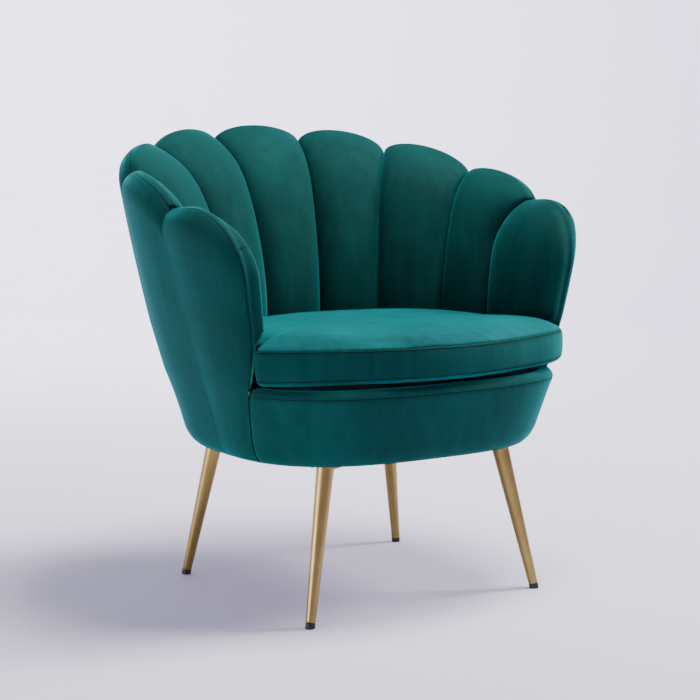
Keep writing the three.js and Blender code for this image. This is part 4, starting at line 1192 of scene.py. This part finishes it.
for sheet, radiusAt, rest in ((deckCover, flatDeckRadius, deckPad), (dustCover, dustRadius, "base_ring")):
    wide = 2 * radiusAt(math.pi / 2) / 1000
    long = (radiusAt(0) + radiusAt(math.pi)) / 1000
    planArea(radiusAt)


# A ribbed strap of webbing in the place of its solid
def makeStrap(node):
    low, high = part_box(node)
    lengthwise = (high.y - low.y) > (high.x - low.x)
    length = high.y - low.y if lengthwise else high.x - low.x
    width = high.x - low.x if lengthwise else high.y - low.y
    points, across, along = [], 21, 90
    for face in (1, -1):
        for j in range(along + 1):
            for i in range(across + 1):
                rib = inside["strapRib"] / 1000 * (1 + math.cos(i * math.pi)) * 0.5
                u, v = mix(-width / 2, width / 2, i / across), mix(-length / 2, length / 2, j / along)
                height = (high.z - rib) if face > 0 else (low.z + rib)
                x, y = (u, v) if lengthwise else (v, u)
                points.append(((low.x + high.x) / 2 + x, (low.y + high.y) / 2 + y, height))
    made = meshPiece(node.replace("strap", "webStrap"), points, slabFaces(across + 1, along + 1))
    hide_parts(node)
    return made


straps = [makeStrap(f"strap_{way}_{n}") for way in ("long", "cross") for n in (1, 2, 3)]


# A free copy of a CAD solid, to be reshaped in its place
def solidCopy(node, name):
    made = bpy.data.objects.new(name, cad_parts[node].data.copy())
    made.data.materials.clear()
    bpy.context.scene.collection.objects.link(made)
    return made


# A copy of a solid with its edges rounded and softened
def softened(node, name, voxel):
    made = solidCopy(node, name)
    remesh(made, voxel)
    smoothMesh(made, 2)
    for face in made.data.polygons:
        face.use_smooth = True
    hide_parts(node)
    return made


foamPads = {
    "railVoxel": 0.0035, "railTuckStart": 0.335, "railTuckFade": 0.03, "railTuck": 0.014, "railDrop": 0.0035,
    "coreVoxel": 0.007, "coreShare": 0.97, "coreMiddle": 0.4165, "coreFlat": 0.14,
    "earStart": 0.244, "earSqueeze": 0.75, "railFill": 0.5, "coreFill": 0.9,
}
railPad = softened("rail_pad", "railPad", foamPads["railVoxel"])
cushionCore = softened("cushion_core", "cushionCore", foamPads["coreVoxel"])
for vertex in railPad.data.vertices:  # the pad's top edge stays under the cover's roll
    share = smooth((vertex.co.z - foamPads["railTuckStart"]) / foamPads["railTuckFade"])
    vertex.co.x *= 1 - foamPads["railTuck"] * share
    vertex.co.y *= 1 - foamPads["railTuck"] * share
    vertex.co.z -= foamPads["railDrop"] * share
for vertex in cushionCore.data.vertices:
    vertex.co.x *= foamPads["coreShare"]
    vertex.co.y *= foamPads["coreShare"]
    beyond = max(abs(vertex.co.x) - foamPads["earStart"], 0)  # the foam's ears stay inside the cover's
    vertex.co.x -= math.copysign(beyond * foamPads["earSqueeze"], vertex.co.x)
    vertex.co.z = mix(vertex.co.z, foamPads["coreMiddle"], foamPads["coreFlat"])

# The cushion's zip at the back: woven tape, two rows of teeth, slider and pull
zipper = {
    "halfAngle": 19 * degree, "centreY": -148.48, "tapeShare": 0.985, "toothShare": 0.94,
    "tooth": 1.0, "toothHeight": 1.15, "toothShift": 0.55, "pitch": 1.45,
    "sliderBevel": 0.0005, "pullBevel": 0.00025,
}


def zipPoint(angle, radius, height):
    return inRow((radius * math.sin(angle), zipper["centreY"] + radius * math.cos(angle), height))


def makeZipTape():
    low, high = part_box("zip_tape")
    half, centre = (high.z - low.z) * 500, (high.z + low.z) * 500
    outerRadius = (high.y - bodyShift) * 1000 - zipper["centreY"]
    end = zipper["halfAngle"] * zipper["tapeShare"]
    angles, heights = evenSteps(-end, end, 90), evenSteps(centre - half + 0.1, centre + half - 0.1, 12)
    points = [zipPoint(a, outerRadius - depth, h) for depth in (0.5, 1.2) for h in heights for a in angles]
    faces = slabFaces(len(angles), len(heights))
    spin = zipper["tooth"] / outerRadius * 0.5
    end = zipper["halfAngle"] * zipper["toothShare"]
    angle, side = -end, -1
    while angle < end:
        start, toothHeight = len(points), centre + side * zipper["toothShift"]
        for depth in (0.75, 0.1):
            for across, up in ((-1, -1), (1, -1), (1, 1), (-1, 1)):
                height = toothHeight + up * zipper["toothHeight"]
                points.append(zipPoint(angle + across * spin, outerRadius - depth, height))
        for quad in ((0, 1, 2, 3), (7, 6, 5, 4), (0, 4, 5, 1), (1, 5, 6, 2), (2, 6, 7, 3), (3, 7, 4, 0)):
            faces.append(tuple(start + k for k in quad))
        angle += zipper["pitch"] / outerRadius
        side = -side
    made = meshPiece("zipTape", points, faces, merge=0, sharp=40)
    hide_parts("zip_tape")
    return made


# A copy of a solid with its edges bevelled
def rounded(node, name, width):
    made = solidCopy(node, name)
    weld = made.modifiers.new("weld", "WELD")
    weld.merge_threshold = 1e-5
    edge = made.modifiers.new("edge", "BEVEL")
    edge.width, edge.segments, edge.limit_method, edge.angle_limit = width, 3, "ANGLE", 40 * degree
    applyModifiers(made)
    for face in made.data.polygons:
        face.use_smooth = True
    made.data.set_sharp_from_angle(angle=50 * degree)
    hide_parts(node)
    return made


zipTape = makeZipTape()
zipSlider = rounded("zip_slider", "zipSlider", zipper["sliderBevel"])
zipPull = rounded("zip_pull", "zipPull", zipper["pullBevel"])
print("deck, webbing, lining and zip made")

# What rides on what
for piece in petals + armPetals + [outerCover, railCover]:
    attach(piece, "chair")
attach(seatCushion, "cushion")
for pieces, slot in ((legPieces["brass"], "brass_legs"), (legPieces["caps"], "foot_plastic"),
                     (legPieces["screws"], "steel"), (straps, "webbing"), ([deckPad, railPad], "foam"),
                     ([deckCover, dustCover], "lining")):
    for piece in pieces:
        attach(piece, "chair")
for piece, body, slot in ((cushionCore, "cushion", "foam"), (zipTape, "cushion", "lining"),
                          (zipSlider, "slider", "steel"), (zipPull, "slider", "steel")):
    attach(piece, body)


# Materials are built from noise and wave nodes in each piece's own space
def shaderNode(tree, kind, inputs=None, **settings):
    made = tree.nodes.new(kind)
    for key, value in settings.items():
        setattr(made, key, value)
    for key, value in (inputs or {}).items():
        if isinstance(value, bpy.types.NodeSocket):
            tree.links.new(value, made.inputs[key])
        else:
            made.inputs[key].default_value = value
    return made


def newMaterial(name, **fixed):
    material = bpy.data.materials.new(name)
    material.use_nodes = True
    tree = material.node_tree
    surface = tree.nodes["Principled BSDF"]
    for key, value in fixed.items():
        surface.inputs[key].default_value = value
    return material, tree, surface


def paint(tree, surface, color, rough):
    tree.links.new(color, surface.inputs["Base Color"])
    tree.links.new(rough, surface.inputs["Roughness"])


def pieceSpace(tree, scale=(1, 1, 1)):
    spot = shaderNode(tree, "ShaderNodeTexCoord").outputs["Object"]
    return shaderNode(tree, "ShaderNodeMapping", {"Vector": spot, "Scale": scale}).outputs["Vector"]


def noiseValue(tree, scale, detail=2.0, stretch=(1, 1, 1), roughness=0.5):
    made = shaderNode(tree, "ShaderNodeTexNoise", {
        "Vector": pieceSpace(tree, stretch), "Scale": scale, "Detail": detail, "Roughness": roughness})
    return made.outputs["Fac"]


def waveValue(tree, direction, scale, **inputs):
    made = shaderNode(tree, "ShaderNodeTexWave", {"Vector": pieceSpace(tree), "Scale": scale, **inputs},
                      bands_direction=direction)
    return made.outputs["Fac"]


def ramp(tree, value, stops):
    made = shaderNode(tree, "ShaderNodeValToRGB", {"Fac": value})
    band = made.color_ramp
    while len(band.elements) < len(stops):
        band.elements.new(0.5)
    for element, (at, color) in zip(band.elements, stops):
        element.position, element.color = at, (*color, 1)
    return made.outputs["Color"]


def maths(tree, how, first, second, third=0.0):
    return shaderNode(tree, "ShaderNodeMath", {0: first, 1: second, 2: third}, operation=how).outputs[0]


def bump(tree, surface, height, distance, strength=1.0, under=None):
    inputs = {"Height": height, "Distance": distance, "Strength": strength}
    if under is not None:
        inputs["Normal"] = under
    made = shaderNode(tree, "ShaderNodeBump", inputs)
    tree.links.new(made.outputs["Normal"], surface.inputs["Normal"])
    return made.outputs["Normal"]


# The seat's two colours make a lighter copy of the same velvet: painted light for the cushion's top, which faces
# the lamps
velvetLook = {
    "dark": (0.0005, 0.032, 0.0285), "light": (0.0009, 0.06, 0.053), "paintedLightSeatDark": (0.0002, 0.066, 0.067),
    "paintedLightSeatLight": (0.0004, 0.12, 0.125), "sheen": 0.45, "sheenRoughness": 0.36, "sheenTint": (0.0, 0.72, 0.70, 1),
    "roughness": 0.76, "gloss": 0.07,
}


# Velvet: pile that leans in soft patches and brushed streaks, with a fine grain
def makeVelvet(name, dark, light, finer):
    material, tree, surface = newMaterial(name, **{
        "Sheen Weight": velvetLook["sheen"], "Sheen Roughness": velvetLook["sheenRoughness"],
        "Sheen Tint": velvetLook["sheenTint"], "Specular IOR Level": velvetLook["gloss"]})
    patches = noiseValue(tree, 7.0 + finer, 3.0, (1, 1, 0.6))
    streaks = noiseValue(tree, 60.0, 3.0, (1, 1, 0.12), 0.6)
    pile = noiseValue(tree, 900.0, 2.0)
    weave = noiseValue(tree, 260.0, 1.0, (1, 1, 0.4))
    lean = maths(tree, "MULTIPLY_ADD", patches, 0.55, maths(tree, "MULTIPLY", streaks, 0.3))
    lean = maths(tree, "MULTIPLY_ADD", pile, 0.22, lean)
    rough = maths(tree, "MULTIPLY_ADD", weave, 0.16, velvetLook["roughness"] - 0.08)
    paint(tree, surface, ramp(tree, lean, [(0.38, dark), (0.68, light)]), rough)
    grain = maths(tree, "ADD", maths(tree, "MULTIPLY", pile, 0.7), maths(tree, "MULTIPLY", weave, 0.5))
    under = bump(tree, surface, streaks, 0.0012, 0.35)
    bump(tree, surface, grain, 0.0004, 0.5, under)
    return material


# Twisted thread, with painted shade in the groove between its strands
def makeThread(name, color, scale):
    material, tree, surface = newMaterial(name, **{"Sheen Weight": 0.0, "Specular IOR Level": 0.05})
    twist = waveValue(tree, "DIAGONAL", scale, Distortion=1.5, Detail=1.0)
    # A darker copy of the thread's colour in the low part of the twist: painted shade in the groove
    dark = tuple(c * 0.55 for c in color)
    paint(tree, surface, ramp(tree, twist, [(0.2, dark), (0.8, color)]),
          maths(tree, "MULTIPLY_ADD", twist, 0.2, 0.6))
    bump(tree, surface, twist, 0.0002, 0.6)
    return material


# Plain weave: threads both ways, with a cloudy wear over them
def makeWoven(name, dark, light, scale, roughness):
    material, tree, surface = newMaterial(name, **{"Specular IOR Level": 0.25})
    cross = maths(tree, "MULTIPLY", waveValue(tree, "X", scale), waveValue(tree, "Y", scale))
    cloudy = maths(tree, "MULTIPLY_ADD", noiseValue(tree, 18.0, 3.0), 0.5, maths(tree, "MULTIPLY", cross, 0.5))
    paint(tree, surface, ramp(tree, cloudy, [(0.15, dark), (0.7, light)]),
          maths(tree, "MULTIPLY_ADD", cross, 0.15, roughness))
    bump(tree, surface, cross, 0.0004, 0.6)
    return material


foamLook = {"dark": (0.5, 0.44, 0.28), "light": (0.72, 0.66, 0.48), "cells": 420.0, "roughness": 0.85}


def makeFoam(name):
    material, tree, surface = newMaterial(name, **{"Specular IOR Level": 0.2})
    cells = shaderNode(tree, "ShaderNodeTexVoronoi", {
        "Vector": pieceSpace(tree), "Scale": foamLook["cells"]}).outputs["Distance"]
    tone = maths(tree, "MULTIPLY_ADD", noiseValue(tree, 12.0, 3.0), 0.6, maths(tree, "MULTIPLY", cells, 0.4))
    paint(tree, surface, ramp(tree, tone, [(0.2, foamLook["dark"]), (0.8, foamLook["light"])]),
          maths(tree, "MULTIPLY_ADD", cells, 0.1, foamLook["roughness"]))
    bump(tree, surface, cells, 0.0008, 0.7)
    return material


plywoodLook = {
    "dark": (0.26, 0.14, 0.06), "middle": (0.45, 0.28, 0.13), "light": (0.58, 0.4, 0.21),
    "glue": (0.2, 0.1, 0.045), "plies": 90.0, "glueShare": 0.35, "roughness": 0.5,
}


# Plywood: stretched grain, crossed by darker glue lines between the plies
def makePlywood(name):
    material, tree, surface = newMaterial(name, **{"Specular IOR Level": 0.3})
    grain = noiseValue(tree, 9.0, 6.0, (1, 14, 14), 0.62)
    plies = waveValue(tree, "Z", plywoodLook["plies"], Distortion=0.4)
    tones = [(0.25, plywoodLook["dark"]), (0.5, plywoodLook["middle"]), (0.8, plywoodLook["light"])]
    glued = shaderNode(tree, "ShaderNodeMix", {
        0: maths(tree, "MULTIPLY", plies, plywoodLook["glueShare"]), 6: ramp(tree, grain, tones),
        7: (*plywoodLook["glue"], 1)},
        data_type="RGBA", blend_type="MIX").outputs[2]
    paint(tree, surface, glued, maths(tree, "MULTIPLY_ADD", grain, 0.25, plywoodLook["roughness"]))
    bump(tree, surface, grain, 0.0005, 0.4)
    return material


brassLook = {"dark": (0.235, 0.155, 0.048), "light": (0.33, 0.235, 0.085), "roughness": 0.28, "brushing": 0.12}


# Brushed brass: fine grooves round each leg, and faint darker stains
def makeBrass(name):
    material, tree, surface = newMaterial(name, **{"Metallic": 1.0, "Anisotropic": 0.4})
    brushed = noiseValue(tree, 40.0, 4.0, (3, 3, 60), 0.7)
    stains = noiseValue(tree, 14.0, 3.0)
    tone = maths(tree, "MULTIPLY_ADD", brushed, 0.35, maths(tree, "MULTIPLY", stains, 0.65))
    rough = maths(tree, "MULTIPLY_ADD", brushed, brassLook["brushing"], brassLook["roughness"] - 0.05)
    paint(tree, surface, ramp(tree, tone, [(0.3, brassLook["dark"]), (0.66, brassLook["light"])]),
          maths(tree, "MULTIPLY_ADD", stains, 0.08, rough))
    bump(tree, surface, brushed, 0.00012, 0.35)
    return material


capLook = {"dark": (0.008, 0.008, 0.009), "light": (0.022, 0.022, 0.024), "roughness": 0.42}


def makeMoulded(name):
    material, tree, surface = newMaterial(name, **{"Specular IOR Level": 0.4})
    grain, scuffs = noiseValue(tree, 700.0, 2.0), noiseValue(tree, 60.0, 5.0)
    paint(tree, surface, ramp(tree, scuffs, [(0.3, capLook["dark"]), (0.8, capLook["light"])]),
          maths(tree, "MULTIPLY_ADD", scuffs, 0.25, capLook["roughness"]))
    bump(tree, surface, grain, 0.0002, 0.4)
    return material


steelLook = {"dark": (0.36, 0.36, 0.37), "light": (0.58, 0.58, 0.6), "roughness": 0.25}


def makeSteel(name):
    material, tree, surface = newMaterial(name, **{"Metallic": 1.0})
    scratches = noiseValue(tree, 300.0, 4.0, (1, 1, 4), 0.7)
    paint(tree, surface, ramp(tree, scratches, [(0.3, steelLook["dark"]), (0.7, steelLook["light"])]),
          maths(tree, "MULTIPLY_ADD", scratches, 0.2, steelLook["roughness"]))
    bump(tree, surface, scratches, 0.00006, 0.5)
    return material


velvet = makeVelvet("tealVelvet", velvetLook["dark"], velvetLook["light"], 0.0)
# The lighter seat velvet is painted light on the cushion's top, and its underside takes it too
paintedLightSeatVelvet = makeVelvet("paintedLightSeatVelvet", velvetLook["paintedLightSeatDark"], velvetLook["paintedLightSeatLight"], 1.6)
# Near-black cords along the seams: painted shade of each seam's crease, darker than the velvet beside it
paintedSeamShade = makeThread("paintedSeamShade", (0.0004, 0.008, 0.0085), 300.0)
stitchThread = makeThread("stitchThread", (0.0008, 0.05, 0.052), 500.0)
foam = makeFoam("cushionFoam")
plywood = makePlywood("birchPlywood")
webbing = makeWoven("webbingCloth", (0.11, 0.085, 0.055), (0.28, 0.23, 0.16), 160.0, 0.8)
lining = makeWoven("liningCloth", (0.006, 0.006, 0.007), (0.025, 0.025, 0.028), 420.0, 0.82)
brass = makeBrass("brushedBrass")
moulded = makeMoulded("blackCap")
steel = makeSteel("screwSteel")


def dress(pieces, material):
    for piece in pieces:
        piece.data.materials.clear()
        piece.data.materials.append(material)


dress(petals + armPetals + [outerCover, railCover], velvet)
dress([seatCushion], paintedLightSeatVelvet)
seatCushion.data.materials.append(velvet)  # the border between the two seams is as dark as the back; the top and underside take the lighter copy, painted light where the top faces the lamps
for face in seatCushion.data.polygons:
    onBorder = cushion["lowerSeam"] < face.center.z * 1000 < cushion["upperSeam"] + 1
    face.material_index = int(onBorder and abs(face.normal.z) < 0.75)
# The seam cords take the painted seam shade
dress([p for p in seams if "Stitches" not in p.name] + cushionSeams, paintedSeamShade)
dress([p for p in seams if "Stitches" in p.name] + [cushionStitches], stitchThread)
dress([deckPad, railPad, cushionCore], foam)
dress([deckCover, dustCover], lining)
dress(straps, webbing)
dress(legPieces["brass"], brass)
dress(legPieces["caps"], moulded)
dress(legPieces["screws"] + [zipSlider, zipPull], steel)
dress([zipTape], lining)
for node in ["back_board", "rail_board", "base_ring", "seat_ring"] + [f"post_{w}" for w in legPlaces]:
    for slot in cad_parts[node].material_slots:
        slot.material = plywood
print("materials set")

# Studio: a pale seamless bowl, a light overhead, a key from the right, a low fill and a light on the far wall
studio = {
    "paper": (0.83, 0.8, 0.95), "paperRoughness": 0.9, "radius": 4.6, "rise": 1.6, "wall": 4.0,
    "world": (0.86, 0.86, 0.94), "worldStrength": 0.11,
}


def makeBackdrop():
    around = 96
    rings = [(r, 0.0) for r in (0.4, 1.0, 1.8, 2.6, 3.4, studio["radius"])]
    for angle in evenSteps(0, math.pi / 2, 16)[1:]:
        away, height = studio["rise"] * math.sin(angle), studio["rise"] * (1 - math.cos(angle))
        rings.append((studio["radius"] + away, height))
    rings.append((studio["radius"] + studio["rise"], studio["wall"]))
    points = [(0, 0, 0)]
    for radius, height in rings:
        for k in range(around):
            angle = 2 * math.pi * k / around
            points.append((radius * math.cos(angle), radius * math.sin(angle), height))
    return meshPiece("backdrop", points, ringFaces(len(rings), around, closed=False))


backdrop = makeBackdrop()
paper, paperTree, paperSurface = newMaterial("backdropPaper", **{"Specular IOR Level": 0.1})
shade = tuple(c * 0.985 for c in studio["paper"])
paperColor = ramp(paperTree, noiseValue(paperTree, 3.0), [(0.3, shade), (0.7, studio["paper"])])
paperTree.links.new(paperColor, paperSurface.inputs["Base Color"])
paperSurface.inputs["Roughness"].default_value = studio["paperRoughness"]
dress([backdrop], paper)


def aim(piece, at, toward):
    bpy.context.scene.collection.objects.link(piece)
    piece.location = at
    piece.rotation_euler = (Vector(toward) - Vector(at)).to_track_quat("-Z", "Y").to_euler()


# Where each lamp stands, where it points, its size, power and colour
lamps = {
    "overheadLight": ((0.55, -0.35, 3.0), (0, 0, 0.4), (1.1, 1.1), 120, (1.0, 0.99, 0.985)),
    "keyLight": ((2.6, -0.85, 2.2), (0, 0, 0.3), (0.9, 0.9), 88, (1.0, 0.99, 0.98)),
    "fillLight": ((-2.9, 0.35, 0.45), (0, 0, 0.5), (1.6, 0.6), 42, (1.0, 0.99, 0.95)),
    "backdropLight": ((0.6, 2.6, 3.9), (1.6, 5.4, 2.0), (3.4, 1.6), 620, (1.0, 0.99, 1.0)),
}
for name, (at, toward, size, power, color) in lamps.items():
    lamp = bpy.data.lights.new(name, "AREA")
    lamp.shape, lamp.size, lamp.size_y = "RECTANGLE", size[0], size[1]
    lamp.energy, lamp.color = power, color
    aim(bpy.data.objects.new(name, lamp), at, toward)

world = bpy.data.worlds.new("studioAir")
bpy.context.scene.world = world
world.use_nodes = True
air = world.node_tree.nodes["Background"]
air.inputs["Color"].default_value = (*studio["world"], 1)
air.inputs["Strength"].default_value = studio["worldStrength"]

viewpoint = {"at": (-1.5825, -2.4149, 0.7427), "toward": (0.0004, -0.0098, 0.3968), "lens": 87.58, "sensor": 36}
lens = bpy.data.cameras.new("photoCamera")
lens.lens, lens.sensor_width = viewpoint["lens"], viewpoint["sensor"]
camera = bpy.data.objects.new("photoCamera", lens)
aim(camera, viewpoint["at"], viewpoint["toward"])
bpy.context.scene.camera = camera
print("studio lit")
